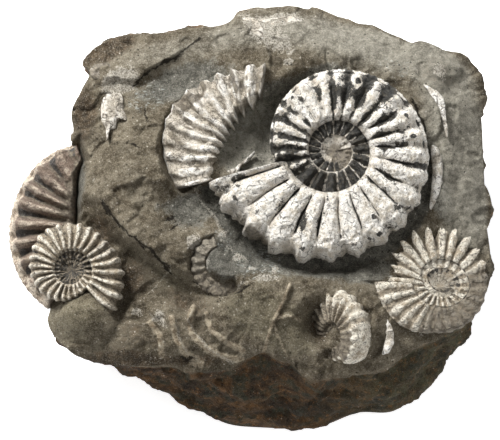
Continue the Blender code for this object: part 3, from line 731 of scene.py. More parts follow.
def read_off(curve, values, angle):
    """Values of the points of a closed curve, read off in each direction from the middle of the face."""
    away = curve[:, :2] - FACE_CENTRE
    bearing = np.mod(np.arctan2(away[:, 1], away[:, 0]), 2 * math.pi)
    order = np.argsort(bearing)
    return np.interp(angle, bearing[order], values[order], period=2 * math.pi)


def outline_reach(curve, angle):
    """Distance from the middle of the face to a closed curve, in each direction."""
    return read_off(curve, np.hypot(*(curve[:, :2] - FACE_CENTRE).T), angle)


def face_points():
    """The points of the face, and the bearing of each from its middle.

    z = relief (1 - s^8) + rim s^4, with s the share of the way from the middle to the rim, then roughness on
    top: coarse lumps, folded crumbs, and flat-floored chips. It is weak where the face is scraped or plain.
    """
    share, angle = square_to_disc(FACE_CELLS)
    rim = closed_curve(RIM, OUTLINE_SAMPLES)
    reach = outline_reach(rim, angle)
    rim_height = read_off(rim, rim[:, 2], angle)
    x = FACE_CENTRE[0] + share * reach * np.cos(angle)
    y = FACE_CENTRE[1] + share * reach * np.sin(angle)
    z = face_relief(x, y) * (1 - share**8) + rim_height * share**4
    flat = np.stack((x, y, np.zeros_like(x)), axis=-1)
    scraped = paint(x, y, SCRAPED)
    lumps = value_noise(np.stack((x, y, z + FACE_HEIGHT), axis=-1), 9 * MM, 3)
    z = z + lumps * 1.2 * MM * (1 - 0.5 * scraped)
    rough = 1 - 0.55 * scraped - 0.55 * paint(x, y, OLIVE) - 0.6 * paint(x, y, PLAIN)
    crumbs = 0.55 * MM * np.abs(noise(flat, 2.6 * MM, 9)) - 0.5 * MM * np.abs(fractal(flat, 3.4 * MM, 2, 27))
    z = z + np.clip(rough, 0.2, 1) * (0.7 * MM * fractal(flat, 5 * MM, 4, 1, 0.55) + crumbs)
    z = z - 1.1 * MM * smooth_step(noise(flat, 7 * MM, 21), 0.28, 0.36) * np.clip(rough, 0, 1)
    z = np.minimum(z, fossil_floor(x, y))
    return np.stack((x, y, z + FACE_HEIGHT), axis=-1), angle


# %% [markdown]
# ## The sides
#
# Below the rim the block is broken off steeply, with beds that stand out a little, and it runs in to a
# smaller foot. Rows of points go round it, starting at the border of the face itself, so the two meet
# without a seam.

# %% The sides below the face
SIDE_ROWS = 42


def side_points(edge, bearings):
    """Rows of points from the face's edge down to the foot, and the inner edge of the foot as the last row.

    A row is edge (1 - s) + foot s, with s a smooth step of the share of the way down. Its points are then
    pushed out and in: by a bulge, by beds wider than they are high, by lumps, and by crumbs and chips.
    """
    foot_reach = outline_reach(closed_curve(BASE, OUTLINE_SAMPLES), bearings)
    way = np.stack((np.cos(bearings), np.sin(bearings)), axis=-1)
    foot = FACE_CENTRE + foot_reach[:, None] * way
    down = (np.arange(1, SIDE_ROWS + 1) / SIDE_ROWS)[:, None]
    spread = smooth_step(down, -0.1, 1.0)[..., None]
    flat = edge[:, :2] * (1 - spread) + foot * spread
    height = edge[:, 2] * (1 - down) + BASE_EDGE * down
    sides = np.concatenate((flat, height[..., None]), axis=-1)
    fade = smooth_step(down, 0, 0.12) * (1 - down**6)
    beds = value_noise(sides * (1, 1, 2.4), 17 * MM, 7) * 3 * MM
    lumps = value_noise(sides, 9 * MM, 5) * 1.8 * MM + value_noise(sides, 4.5 * MM, 6) * 0.9 * MM
    chips = smooth_step(noise(sides, 8 * MM, 13), 0.25, 0.4)
    crumbs = 0.9 * MM * fractal(sides, 3.5 * MM, 3, 4, 0.55) - 1.4 * MM * chips
    out = np.sin(math.pi * down) * 1.5 * MM + (beds + lumps) * (1 - down**6) + crumbs * fade
    sides[..., :2] += out[..., None] * way
    inset = np.concatenate((sides[-1, :, :2] - way * BASE_INSET, np.zeros((len(edge), 1))), axis=-1)
    return np.concatenate((sides, inset[None]))


# %% [markdown]
# ## The whole block
#
# The face, the sides and the flat underside become one closed surface, as the solid is one closed body. Each
# point then gets its masks: the numbers from 0 to 1 that the finish reads to choose between its looks.

# %% The whole block
NO_LINE = 9.0  # what the masks of thin lines hold on the sides, in mm
FULL_RIDGE_TONE = 1.6  # how high (mm) a ridge is whose pale cast and painted highlight show in full


def rock_masks(x, y, points):
    """What the finish goes by at each point: the face's spots and thin lines, and how much it is side."""
    ring = 0.9 * moat(x, y, LARGE_COIL, 2 * MM, 6 * MM) * (1 - blob(x, y, *TRENCH_FADE))
    # Pale casts of ribs along the raised ridges; their tone is also a painted highlight on the ridge tops
    casts_and_highlights = np.zeros(x.shape)
    for line, height, half_width in RIDGES:
        if height > 0:
            across = line_distance(x, y, line)[0] / (half_width * MM)
            casts_and_highlights = np.maximum(casts_and_highlights, min(1, height / FULL_RIDGE_TONE) * np.exp(-(across**2)))
    spots = {"scraped": np.maximum(paint(x, y, SCRAPED), ring), "cast": casts_and_highlights}
    for name, listed in dict(olive=OLIVE, pale=PALE, brown=BROWN, light=LIGHT, flecked=FLECKED).items():
        spots[name] = paint(x, y, listed)
    crack_near, crack_side = nearest_line(x, y, CRACKS)
    vein_near, vein_side = nearest_line(x, y, SHELL_LINES)
    lines = dict(crack_near=crack_near, crack_side=crack_side, vein_near=vein_near, vein_side=vein_side)
    rest = len(points) - x.size
    masks = {name: np.append(mask, np.zeros(rest)) for name, mask in spots.items()}
    masks |= {name: np.append(mask, np.full(rest, NO_LINE)) for name, mask in lines.items()}
    down = np.minimum(np.arange(1, SIDE_ROWS + 2) / SIDE_ROWS, 1)
    below = np.repeat(smooth_step(down, 0, 0.08), 4 * FACE_CELLS)
    masks["side"] = np.concatenate((np.zeros(x.size), below, [1.0]))
    masks["mossy"] = masks["side"] * smooth_step(points[:, 0], 12 * MM, 50 * MM)
    return masks


def rock_surface():
    """Points, faces and masks of the block: the face, the sides down from its edge, and the underside."""
    top, bearings = face_points()
    grid = np.arange(bearings.size).reshape(bearings.shape)
    border = np.concatenate((grid[:-1, 0], grid[-1, :-1], grid[:0:-1, -1], grid[0, :0:-1]))
    sides = side_points(top.reshape(-1, 3)[border], bearings.ravel()[border])
    under = np.array([[*FACE_CENTRE, 0.0]])
    points = np.concatenate((top.reshape(-1, 3), sides.reshape(-1, 3), under))
    rows = np.arange((SIDE_ROWS + 1) * len(border)).reshape(SIDE_ROWS + 1, -1) + grid.size
    faces = grid_faces(grid) + grid_faces(np.concatenate((border[None], rows)), closed=True)
    last = rows[-1].tolist()
    faces += [(a, b, len(points) - 1) for a, b in zip(last, last[1:] + last[:1])]
    return points, faces, rock_masks(top[..., 0], top[..., 1], points)


# %% [markdown]
# ## The finish of the rock
#
# Marlstone is fine-grained, so its colour comes in soft clouds with tiny light and dark specks. Where the
# tool scraped it, it is blue-grey, and the smooth facets of the front are olive. On the sides, where it
# weathered, iron turned it brown and rusty in beds. Every mask gets ragged noise added before it is cut off,
# so that no spot has a clean edge. The thin cracks and the pale lines of shell are drawn from distances that
# the mesh stores, because the mesh itself is too coarse for them. The cracks are painted near-black: painted
# shade in the gaps and below the ledges.

# %% The tints of the face and the sides


def face_tint(rock, clouds, mottle, ragged):
    """Grey-brown clouds, then the colour of each kind of spot where its ragged mask is high."""
    tint = rock.tones(clouds, 0.38, 0.62, (90, 81, 65), (131, 122, 104))
    tint = rock.mix(mottle.step(0.48, 0.66) * 0.5, tint, colour(163, 153, 133))
    tint = rock.mix(mottle.step(0.48, 0.34) * 0.6, tint, colour(70, 60, 47))
    scraped = (rock.attribute("scraped") + ragged).step(0.3, 0.7)
    tint = rock.mix(scraped * 0.85, tint, rock.tones(mottle, 0.35, 0.65, (76, 77, 72), (126, 125, 117)))
    # Lighter patches, and a painted pool of light in the hollow between the broken whorl and the large coil
    light = (rock.attribute("light") + ragged * 0.5).step(0.1, 0.9)
    tint = rock.mix(light * 0.75, tint, rock.tones(mottle, 0.35, 0.65, (138, 135, 123), (180, 176, 163)))
    olive = (rock.attribute("olive") + ragged).step(0.35, 0.8)
    tint = rock.mix(olive * 0.7, tint, rock.tones(mottle, 0.3, 0.7, (92, 86, 68), (136, 128, 106)))
    brown = (rock.attribute("brown") + ragged).step(0.25, 0.7)
    return rock.mix(brown * 0.75, tint, rock.tones(mottle, 0.4, 0.65, (50, 40, 30), (94, 76, 56)))


def side_tint(rock, clouds, mottle, rust):
    """Brown with green-grey blots, dark and pale beds, moss towards the right, and rusty and dark dots."""
    beds = rock.noise(16 * MM, 5, 0.65, (0.5, 0.5, 2.6))
    tint = rock.tones(clouds, 0.42, 0.58, (64, 49, 34), (102, 76, 49))
    tint = rock.mix(rust.step(0.52, 0.4) * 0.8, tint, colour(58, 62, 50))
    tint = rock.mix(beds.step(0.47, 0.38) * 0.6, tint, colour(52, 47, 40))
    tint = rock.mix(beds.step(0.55, 0.64) * 0.4, tint, colour(106, 84, 58))
    tint = rock.mix(rock.attribute("mossy") * rust.step(0.42, 0.55) * 0.8, tint, colour(84, 84, 64))
    tint = rock.mix(mottle.step(0.54, 0.66) * 0.6, tint, colour(146, 104, 62))
    return rock.mix(mottle.step(0.46, 0.38) * 0.7, tint, colour(30, 24, 18))


# %% [markdown]
# ## From tints to stone
#
# The two tints are mixed by how much a point belongs to the sides. Small things go on top: pale casts of
# ribs, made lighter along the ridge tops as a painted highlight, then grains, flecks, specks and pits, then
# the thin lines, the cracks among them painted dark as the shade in them. Three bumps of different sizes
# catch the
# light: creases, rough relief and the finest grain.


# %% Rock finish
def thin_line(rock, name, half_width, sway, ragged):
    """1 on thin lines whose distances the mesh stores; sway bends them, and ragged changes their width."""
    across = (rock.attribute(name + "_side") + sway).size() + ragged
    return across.step(half_width, half_width * 0.4) * rock.attribute(name + "_near").step(2.0, 1.4)


def rock_finish():
    """The tints, then casts with a painted highlight, shelly spots, grain, flecks, specks, pits, and thin
    lines whose cracks are painted shade, over three bumps.
    """
    rock = Finish("marlstone")
    clouds = rock.noise(9 * MM, 6)
    mottle = rock.noise(2.2 * MM, 6, 0.75)
    grain = rock.noise(0.45 * MM, 3, 0.75)
    rust = rock.noise(5 * MM, 5, 0.65)
    side = rock.attribute("side")
    ragged = (clouds - 0.5) * 0.9 + (mottle - 0.5) * 1.2 + (grain - 0.5) * 0.6
    tint = rock.mix(side, face_tint(rock, clouds, mottle, ragged), side_tint(rock, clouds, mottle, rust))
    # Pale tone on the ridges: the casts' own colour plus a painted highlight on the ridge tops
    cast = (rock.attribute("cast") + ragged * 0.8).step(0.3, 0.8)
    tint = rock.mix(cast * 0.8, tint, rock.tones(mottle, 0.4, 0.6, (138, 121, 98), (206, 193, 168)))
    pale = (rock.attribute("pale") + ragged * 1.4).step(0.45, 0.6)
    tint = rock.mix(pale * 0.8, tint, rock.tones(grain, 0.4, 0.6, (140, 133, 119), (212, 206, 194)))
    tint = rock.mix(grain.step(0.5, 0.64) * (0.34 - side * 0.24), tint, colour(190, 182, 166))
    tint = rock.mix(grain.step(0.5, 0.36) * 0.36, tint, colour(54, 47, 38))
    flecks = rock.noise(0.8 * MM, 3, 0.7, (0.5, 1.3, 1)).step(0.56, 0.64)
    strewn = (rock.attribute("flecked") + ragged * 0.6).step(0.2, 0.7)
    tint = rock.mix(flecks * strewn * 0.75, tint, colour(186, 190, 184))
    specks = rock.cells(1.4 * MM).step(0.22, 0.1) * mottle.step(0.5, 0.58)
    tint = rock.mix(specks * (0.8 - side * 0.5), tint, colour(214, 208, 196))
    pits = rock.cells(1.9 * MM).step(0.2, 0.1) * clouds.step(0.45, 0.55)
    tint = rock.mix(pits * 0.75, tint, colour(30, 27, 24))
    sway = (rust - 0.5) * 3.0 + (mottle - 0.5) * 1.0
    waver = (mottle - 0.5) * 1.2 + (clouds - 0.5) * 1.5
    vein = thin_line(rock, "vein", 0.45, sway, waver) * grain.step(0.42, 0.56)
    tint = rock.mix(vein * 0.6, tint, colour(200, 194, 180))
    # The cracks: near-black painted shade in the gaps and below the ledges
    crack = thin_line(rock, "crack", 0.5, sway, waver)
    tint = rock.mix(crack * 0.85, tint, colour(26, 22, 18))
    relief = rock.noise(2.6 * MM, 8, 0.78)
    creases = (rock.noise(4.5 * MM, 5, 0.6) - 0.5).size()
    normal = rock.bump(creases.step(0.0, 0.09), 0.5 * MM, 0.5)
    normal = rock.bump(relief - crack * 0.2, 2.0 * MM, 0.9, normal)
    normal = rock.bump(grain, 0.35 * MM, 0.9, normal)
    return rock.wear(Base_Color=tint, Roughness=0.72 + 0.2 * mottle, Normal=normal, Specular_IOR_Level=0.12)


rock_material = rock_finish()
make_piece("rock", *rock_surface(), rock_material, ["rock_matrix"], "marlstone")

# %% [markdown]
# ## The shells
#
# A whorl's cross-section rises steeply from the seam, runs flat over the flank and rounds over to the keel.
# Ribs cross the flank and end in knobs at the shoulder. One function gives the height over that section, and
# the same function serves the whole coils and the broken arcs.

# %% The cross-section of a whorl
SHOULDER = 0.87
RIB_STRENGTH = random.uniform(0.6, 1.35, 61)
KNOB_SCAR = random.random(61) < 0.25  # the ribs whose knob has lost its tip


def wander(value, seed):
    """Smooth random numbers along a line, about -1 to 1, that turn about once for each whole number."""
    return noise(np.stack((value, 0 * value, 0 * value), axis=-1), 1.0, seed)


def patches(rib, across, seed):
    """Patches drawn out along the ribs: noise over the rib's number and the place across the whorl."""
    rib, across = np.broadcast_arrays(rib, across)
    spots = np.stack((rib / 0.9, across / 0.4, 0 * rib), axis=-1)
    return noise(spots, 1.0, seed) + 0.5 * noise(spots, 0.4, seed + 1)


def rib_strength(rib):
    """How strong the ribs are: each has its own strength, blended in the furrows between them."""
    whole = np.floor(rib).astype(int)
    part = smooth_step(rib - whole, 0.2, 0.8)
    first, second = (RIB_STRENGTH[np.mod(whole + k, len(RIB_STRENGTH))] for k in (0, 1))
    return first * (1 - part) + second * part


def furrow(rib, half_width):
    """1 on the line of the furrow between two ribs, falling off over the half width, in shares of a rib."""
    return np.exp(-((rib - np.floor(rib) - 0.5) / half_width) ** 2)


def knob_scar(rib, across):
    """1 in the dark scar where a knob has lost its tip."""
    whole = np.mod(np.round(rib).astype(int), len(KNOB_SCAR))
    middle = SHOULDER - 0.14 * (RIB_STRENGTH[whole] - 0.8)
    away = np.hypot((rib - np.round(rib)) / 0.17, (across - middle) / 0.045)
    away = away + 0.5 * patches(3 * rib, 3 * across, 7)
    return KNOB_SCAR[whole] * (1 - smooth_step(away, 0.6, 1.1))


def flank_height(across):
    """Share of the half thickness: a steep wall up from the seam, then a rounded roof down to the keel."""
    wall = 1 - 0.5 * (1 - np.clip(across / 0.14, 0, 1)) ** 2.4
    roof = np.sqrt(np.clip(1 - np.clip((across - 0.42) / 0.60, 0, 1) ** 3.4, 0, 1))
    return wall * roof


# %% [markdown]
# ## Ribs on the section
#
# A rib is a wave along the coil. It is highest on the flank, swells to a knob at the shoulder, and gives the
# outline its teeth. Each rib has its own strength, because no two ribs of a real shell are alike.


# %% Ribs, grime and a coil drawn out of round
def draw_out(points, reach, powers):
    """Points drawn out from a coil's middle: r becomes reach (r / reach)^p, with p given every 45 degrees."""
    r = np.hypot(points[:, 0], points[:, 1]) + 1e-9
    angle = np.arctan2(points[:, 1], points[:, 0]) / DEG
    power = np.interp(angle, np.arange(8) * 45, powers, period=360)
    factor = (r / reach) ** (power - 1)
    return points * np.stack((factor, factor, np.ones_like(factor)), axis=-1)


def grime(points, seed):
    """Dirty stretches, about 0 to 1: the upper half of noise over the block."""
    return np.clip(1.6 * fractal(points, 5 * MM, 3, seed), 0, 1)


def at_age(looks, name, age):
    """One of the looks at some ages: its values, given at looks["ages"], blended between them."""
    ages = looks["ages"]
    return np.interp(age, ages, np.broadcast_to(looks[name], len(ages)))


def ribbed(radius, across, outer, half, rib, looks, age):
    """The section with ribs on it: their crests stand up over the flank and draw the outline out in teeth.

    The fuller a rib is, the narrower is the furrow beside it: crest = 1 - (1 - c)^fullness, with c a cosine
    of the rib's number. Where the keel is bare, the teeth end below it and a groove runs along its foot.
    """
    own = rib_strength(rib)
    names = ("fullness", "teeth", "keel_bare", "rib_height", "slit", "ragged", "knob")
    fullness, teeth, bare, rib_height, slit, ragged, knob = (at_age(looks, name, age) for name in names)
    wave = 0.5 + 0.5 * np.cos(2 * math.pi * rib)
    crest = 1 - (1 - wave) ** fullness
    strength = smooth_step(across, 0.0, 0.22) * (1 - smooth_step(across, 0.93, 1.02)) * own
    at_knob = np.exp(-((across - SHOULDER) / 0.07) ** 2)
    rise = rib_height * strength * (crest - 0.6) + knob * own * at_knob * wave**2
    cut = slit * furrow(rib, 0.05) * smooth_step(across, 0.08, 0.16)
    rise = rise - cut * (1 - smooth_step(across, 0.6, 0.85))
    rise = rise - 0.12 * bare * np.exp(-((across - 0.965) / 0.018) ** 2)
    fringe = smooth_step(across, 0.7, 0.92) * (1 - bare * smooth_step(across, 0.90, 0.97))
    ragged = ragged * patches(4 * rib, across, 17) * fringe
    keel = np.exp(-((across - 1.01) / 0.02) ** 2) * (0.8 + 0.2 * np.cos(6 * math.pi * rib))
    reach = teeth * own * fringe * (wave**1.3 - 0.7) + ragged + 0.022 * bare * keel
    return radius + outer * reach, half * (flank_height(across) + rise), crest


# %% [markdown]
# ## Whole coils
#
# A coil is wound like a ramp: a band whose inner edge is the seam on the turn before it. Only the last turn
# shows its outer side, so only there does the surface go on over the shoulder and the keel, and down into
# the rock. Rows of points run across the band, many to each rib, so the ribs come out round.
#
# A shell changes as it grows. So most of its looks are lists of values at a few ages (in turns), which are
# blended between those ages. One number stands for a look that stays the same:
#
# - `fullness` and `rib_height`: how broad and how high the ribs are, and `lean`: how far they bend forward
# - `teeth` and `ragged`: how far the ribs draw the outline out, and how rough its edge is
# - `keel_bare`: 1 where the keel stands clear of the ribs
# - `slit`: how deep a cut runs between two ribs, and `knob`: how high the knob at the shoulder is
# - `body`: how thick the whorl is, against its plain thickness
# - `inner_ribs`: how closely the inner turns are ribbed, against the last one


# %% Settings of the coils
ROW_DETAIL = 8  # rows of the surface for each row of the solid
UNDER_SHARES = np.linspace(0.99, 0.86, 8)  # shares across the whorl where it turns in again below the keel


# %% The faces of a coil
def coil_faces(inner_shape, outer_shape, per_turn):
    """The faces of a coil, from the rows and columns of its inner and outer points, after one middle point.

    Each row of the band starts at its seam: at the middle at first, then at the last inner point one turn
    before. The rim goes on from the band's last turn.
    """
    rows = inner_shape[0] - 1
    inner_index = 1 + np.arange(math.prod(inner_shape)).reshape(inner_shape)
    seam = np.zeros((rows + 1, 1), int)
    seam[per_turn:, 0] = inner_index[: rows + 1 - per_turn, -1]
    band = np.concatenate((seam, inner_index), axis=1)
    rim_index = 1 + inner_index.size + np.arange(math.prod(outer_shape))
    rim = np.concatenate((band[rows - per_turn :, -1:], rim_index.reshape(outer_shape)), axis=1)
    quads = grid_faces(band) + grid_faces(rim)
    # The face where the second turn begins runs along the whole first row, from the middle outwards
    corners = ((per_turn - 1, 0), (per_turn, 0), (per_turn, 1), (per_turn - 1, 1))
    broken = [int(band[corner]) for corner in corners]
    quads.remove(broken)
    faces = [tuple(q) if q[0] != q[1] else (q[0], q[2], q[3]) for q in quads]
    faces.append((0, *band[0, 1:].tolist(), broken[2], broken[3]))
    faces.append(tuple(rim[0].tolist() + rim[-1, ::-1].tolist() + band[-1, -2:0:-1].tolist()))
    faces.append(tuple(rim[:, -1].tolist()))
    return faces


# %% A coil as one closed surface
def coil_surface(coil, inner_count, outer_count, looks):
    """Points, faces and marks of a whole ammonite.

    It has inner_count points across the part of a whorl that shows on every turn, and outer_count more from
    there to the keel of the last one.

    A point at age a lies at the angle mouth + 2 pi (turns - a) and at the radius R(a) (seam + u (1 - seam)),
    with R the spiral's outer radius and u the share across the whorl. The marks are what the finish goes by:
    the rib's crest (1) or furrow (0), the age in turns, the share across the whorl, and the rib's number.
    """
    per_turn = coil.rows * ROW_DETAIL
    rows = round(coil.rows * coil.turns) * ROW_DETAIL
    row = np.arange(rows + 1)
    turn = coil.turns - (rows - row) / per_turn
    inner_across = coil.covered() * (np.arange(1, inner_count + 1) / inner_count) ** 1.25
    outer_across = np.linspace(coil.covered(), 1.02, outer_count + 1)[1:]
    last = rows - per_turn

    def place(rows_used, across):
        """Radius, height, plan angle and marks of some rows, at each share across the whorl."""
        age = turn[rows_used][:, None]
        outer = coil.outer_radius(age)
        start = coil.turns - 1
        pace = np.where(age < start, looks["inner_ribs"], 1)
        rib = (start + (age - start) * pace) * coil.rows / coil.rows_per_rib
        rib = rib + 0.2 * wander(rib / 1.6, 5) + looks["lean"] * (across - 0.4) ** 2
        rib = rib + 0.1 * patches(rib / 3, across / 2, 15)
        plain = outer * (coil.seam + across * (1 - coil.seam))
        half = outer * coil.thickness * at_age(looks, "body", age)
        radius, height, crest = ribbed(plain, across, outer, half, rib, looks, age)
        marks = np.stack((crest, age + 0 * crest, across + 0 * crest, rib), axis=-1)
        return radius, height, coil.angle(age), marks

    def to_points(radius, height, angle):
        """Points of the coil's own frame."""
        return np.stack((radius * np.cos(angle), radius * np.sin(angle), height), axis=-1)

    radius, height, angle, inner_marks = place(row, inner_across)
    inner_points = to_points(radius, height, angle)

    rim_rows = row[last:]
    radius, height, angle, outer_marks = place(rim_rows, outer_across)
    under_radius, under, _, under_marks = place(rim_rows, UNDER_SHARES)
    under = np.maximum(-under, -coil.depth * 0.95)
    outer = coil.outer_radius(turn[rim_rows])[:, None]
    seam_radius = outer * coil.seam * coil.growth
    pull = 1 + (coil.rim_stretch(turn[rim_rows])[:, None] - 1) * outer / (outer - seam_radius)
    radius = np.concatenate((radius, under_radius, under_radius[:, -1:] * 0.97), axis=1)
    radius = seam_radius + (radius - seam_radius) * pull
    height = np.concatenate((height, under, np.full_like(pull, -coil.depth)), axis=1)
    outer_points = to_points(radius, height, angle)
    outer_marks = np.concatenate((outer_marks, under_marks, under_marks[:, -1:]), axis=1)

    middle = np.array([[0, 0, inner_points[0, 0, 2]]])
    points = np.concatenate((middle, inner_points.reshape(-1, 3), outer_points.reshape(-1, 3)))
    marks = np.concatenate(([[0.5, turn[0], 0.5, 0]], inner_marks.reshape(-1, 4), outer_marks.reshape(-1, 4)))
    faces = coil_faces(inner_points.shape[:2], outer_points.shape[:2], per_turn)
    return points, faces, marks.T


# %% Points in their place, and weathered
def placed(points, matrix):
    """Points of a fossil's own frame, in the block's frame."""
    turn = np.array(matrix.to_3x3())
    return points @ turn.T + np.array(matrix.translation)


def weather(points, size, seed):
    """Pits and bumps that time left on a shell: fine noise, up and down."""
    rough = 0.6 * noise(points, 3.2 * MM, seed + 2) + 0.5 * noise(points, 1.3 * MM, seed)
    rough = rough + 0.35 * noise(points, 0.7 * MM, seed + 1)
    points = points.copy()
    points[:, 2] += size * rough
    return points


# %% [markdown]
# ## The finish of the shells
#
# The shells are chalky white where they are whole, and three masks change that. The dark mask is where the
# white is gone and black pyrite shows, most of all on the small inner turns, and it also paints shade black
# into furrows, slits, grooves and seams and beside the ribs. The stain mask is a grimy film, and in the
# furrows, rib flanks and seams it is painted shade. The earth mask is rock that still sticks to the shell,
# and along some furrows and seams it is painted shade too. Noise breaks up the edges of all three, and hair
# cracks run in a net of cells.


# %% Shell finish
def shell_finish(name, white, shade, black, dust):
    """Two tones of shell under a black that the mask asks for, pyrite and painted shade, with a dust tone
    that is grime and painted shade, specks and a chalky grain.
    """
    shell = Finish(name)
    clouds = shell.noise(3.5 * MM, 4, 0.6)
    mottle = shell.noise(1.1 * MM, 4, 0.7)
    grain = shell.noise(0.5 * MM, 3, 0.75)
    ragged = (clouds - 0.5) * 0.8 + (mottle - 0.5) * 1.2 + (grain - 0.5) * 0.9
    tint = shell.mix((clouds * 0.4 + mottle * 0.3 + grain * 0.3).step(0.42, 0.54), shade, white)
    # The stain tint: grime, and painted shade in furrows and seams
    stain_and_shade = (shell.attribute("stain_and_shade") + ragged).step(0.25, 0.75)
    tint = shell.mix(stain_and_shade * 0.9, tint, shell.mix(grain.step(0.35, 0.65), dust, shade))
    # The earth tint: rock on the shell, and painted shade along some furrows and seams
    earth_and_shade = (shell.attribute("earth_and_shade") + ragged * 0.7).step(0.3, 0.7)
    tint = shell.mix(earth_and_shade * 0.9, tint, shell.tones(mottle, 0.35, 0.65, (74, 65, 54), (138, 128, 110)))
    # The black: pyrite, and painted shade in furrows, slits, grooves and seams
    dark = (shell.attribute("dark") + ragged).step(0.46, 0.56)
    pyrite_and_shade = shell.mix((mottle * 0.5 + grain * 0.5).step(0.45, 0.68), black, colour(96, 92, 82))
    tint = shell.mix(dark, tint, pyrite_and_shade)
    tint = shell.mix(grain.step(0.45, 0.36) * 0.5, tint, shell.mix(0.5, dust, black))
    specks = (grain * 0.6 + mottle * 0.4).step(0.40, 0.33)
    tint = shell.mix(specks * 0.85, tint, black)
    cracks = shell.cells(2.6 * MM, "DISTANCE_TO_EDGE").step(0.09, 0.03) * clouds.step(0.47, 0.56)
    tint = shell.mix(cracks * mottle.step(0.4, 0.55) * 0.8, tint, shell.mix(0.4, dust, black))
    normal = shell.bump(shell.noise(1.6 * MM, 6, 0.75) - cracks * 0.15, 1.3 * MM, 0.9)
    normal = shell.bump(grain, 0.35 * MM, 0.9, normal)
    return shell.wear(Base_Color=tint, Roughness=0.68 - 0.3 * dark, Normal=normal)


def make_shell(name, points, faces, marks, material, node, slot="white_shell"):
    """A piece of shell, whose marks are how dark, stained and earthy each of its points is, with painted
    shade in all three.
    """
    masks = dict(zip(("dark", "stain_and_shade", "earth_and_shade"), marks))
    make_piece(name, points, faces, masks, material, [node], slot)


white_material = shell_finish("white_shell", colour(250, 246, 238), colour(205, 195, 178), colour(20, 20, 18),
                              colour(104, 95, 80))
cream_material = shell_finish("cream_shell", colour(238, 231, 215), colour(166, 152, 130), colour(36, 31, 26),
                              colour(92, 82, 66))
brown_material = shell_finish("brown_shell", colour(214, 200, 180), colour(130, 112, 96), colour(34, 28, 24),
                              colour(88, 72, 62))
grey_material = shell_finish("grey_shell", colour(156, 148, 132), colour(112, 105, 92), colour(40, 37, 33),
                             colour(84, 79, 69))


# %% [markdown]
# ## The large ammonite
#
# Its last half turn is almost clean and white, with thin slits between broad ribs, painted dark as the shade
# in them. Further back the white is blotched, then the small turns are black with a pale line in each furrow,
# and rock fills the very middle. Painted shade darkens its furrows and the seam along each turn.

# %% The looks of the large ammonite
LARGE_LOOKS = dict(
    lean=0.35,
    inner_ribs=0.75,
    ages=(0, 0.6, 1.45, 1.6, 2.0, 2.15, 2.5),
    fullness=(1, 1.2, 1.2, 1.3, 1.5, 1.7, 1.7),
    rib_height=(0.3, 0.35, 0.4, 0.28, 0.2, 0.14, 0.12),
    teeth=(0.05, 0.05, 0.05, 0.07, 0.03, 0.05, 0.05),
    ragged=(0, 0, 0, 0.015, 0.012, 0.025, 0.03),
    keel_bare=(1, 1, 1, 1, 1, 0, 0),
    slit=(0, 0.02, 0.02, 0.02, 0.08, 0.14, 0.16),
    knob=(0.14, 0.14, 0.14, 0.14, 0.12, 0.09, 0.08),
    body=1,
)
# How black the shell is at some ages: a disc of bare rock, the pyrite turns, then patches, then almost none
LARGE_BLACK = ((0, 0.12, 0.35, 1.45, 1.5, 1.6, 1.66, 1.69, 1.76, 1.79, 1.86, 1.91, 1.97, 2.06, 2.2, 2.5),
               (0, 0.1, 0.95, 0.9, 0.62, 0.58, 0.4, 0.16, 0.3, 0.6, 0.6, 0.52, 0.36, 0.22, 0.05, 0))
# Bare and earthy spots of its lower half: x, y, half width, half depth (mm), turn (degrees), strength
LARGE_BARE = [
    (15.8, -8.5, 1.6, 5, -8, 0.7),
    (9, -3.5, 1.3, 3, -40, 0.6),
    (20.5, -9, 1.2, 3.5, 0, 0.45),
    (2.2, -5.5, 1, 3, -50, 0.5),
    (37, -7, 1, 1, 0, 0.8),
]
LARGE_EARTH = [
    (2, -12.5, 6, 2, -40, 0.9),
    (-5, -4, 3, 1.5, -50, 0.5),
    (12, -16, 5, 2, -20, 0.5),
    (28, -17, 4, 2, 0, 0.3),
]

# %% The large ammonite
points, faces, (crest, age, across, rib) = coil_surface(LARGE_COIL, 24, 28, LARGE_LOOKS)
points = placed(weather(points, 0.65 * MM, 31), LARGE_COIL.matrix())
dirt = grime(points, 32)
young = 1 - smooth_step(age, 1.44, 1.5)
patchy = smooth_step(age, 1.44, 1.5) * (1 - smooth_step(age, 2.1, 2.3))
old = smooth_step(age, 2.0, 2.1)
dark = np.interp(age, *LARGE_BLACK) + paint(points[:, 0], points[:, 1], LARGE_BARE)
pale_lines = 0.6 * furrow(rib, 0.11) * (1 + patches(3 * rib, 3 * across, 65)) + 0.8 * np.exp(-across / 0.05)
dark = dark - young * pale_lines
# Patchy turns: black patches, painted shade in the furrows, and less black by the seam
dark = dark + patchy * (0.6 * patches(rib, across, 61) + 0.55 * (0.5 - crest) - 0.45 * np.exp(-across / 0.08))
# Painted shade: black in the narrow slits cut between the old ribs
slit = furrow(rib, 0.05) * smooth_step(across, 0.08, 0.14) * (1 - smooth_step(across, 0.5, 0.85))
dark = dark + old * slit * (0.7 + 0.5 * patches(rib / 2, across, 67))
dark = dark + old * 0.5 * smooth_step(patches(rib, across, 71), 0.35, 0.7)
dark = dark + 0.6 * knob_scar(rib, across) * (1 - young)
# Painted shade: a dark line in the groove at the foot of the bare keel
dark = dark + patchy * 0.5 * np.exp(-((across - 0.965) / 0.012) ** 2)
# A painted brown shadow along the seam, then real grime from the dirt noise, and a film over the small turns
stain_and_shade = 0.6 * (1 - young) * np.exp(-across / 0.035) + (0.35 - 0.25 * old) * dirt + 0.5 * young
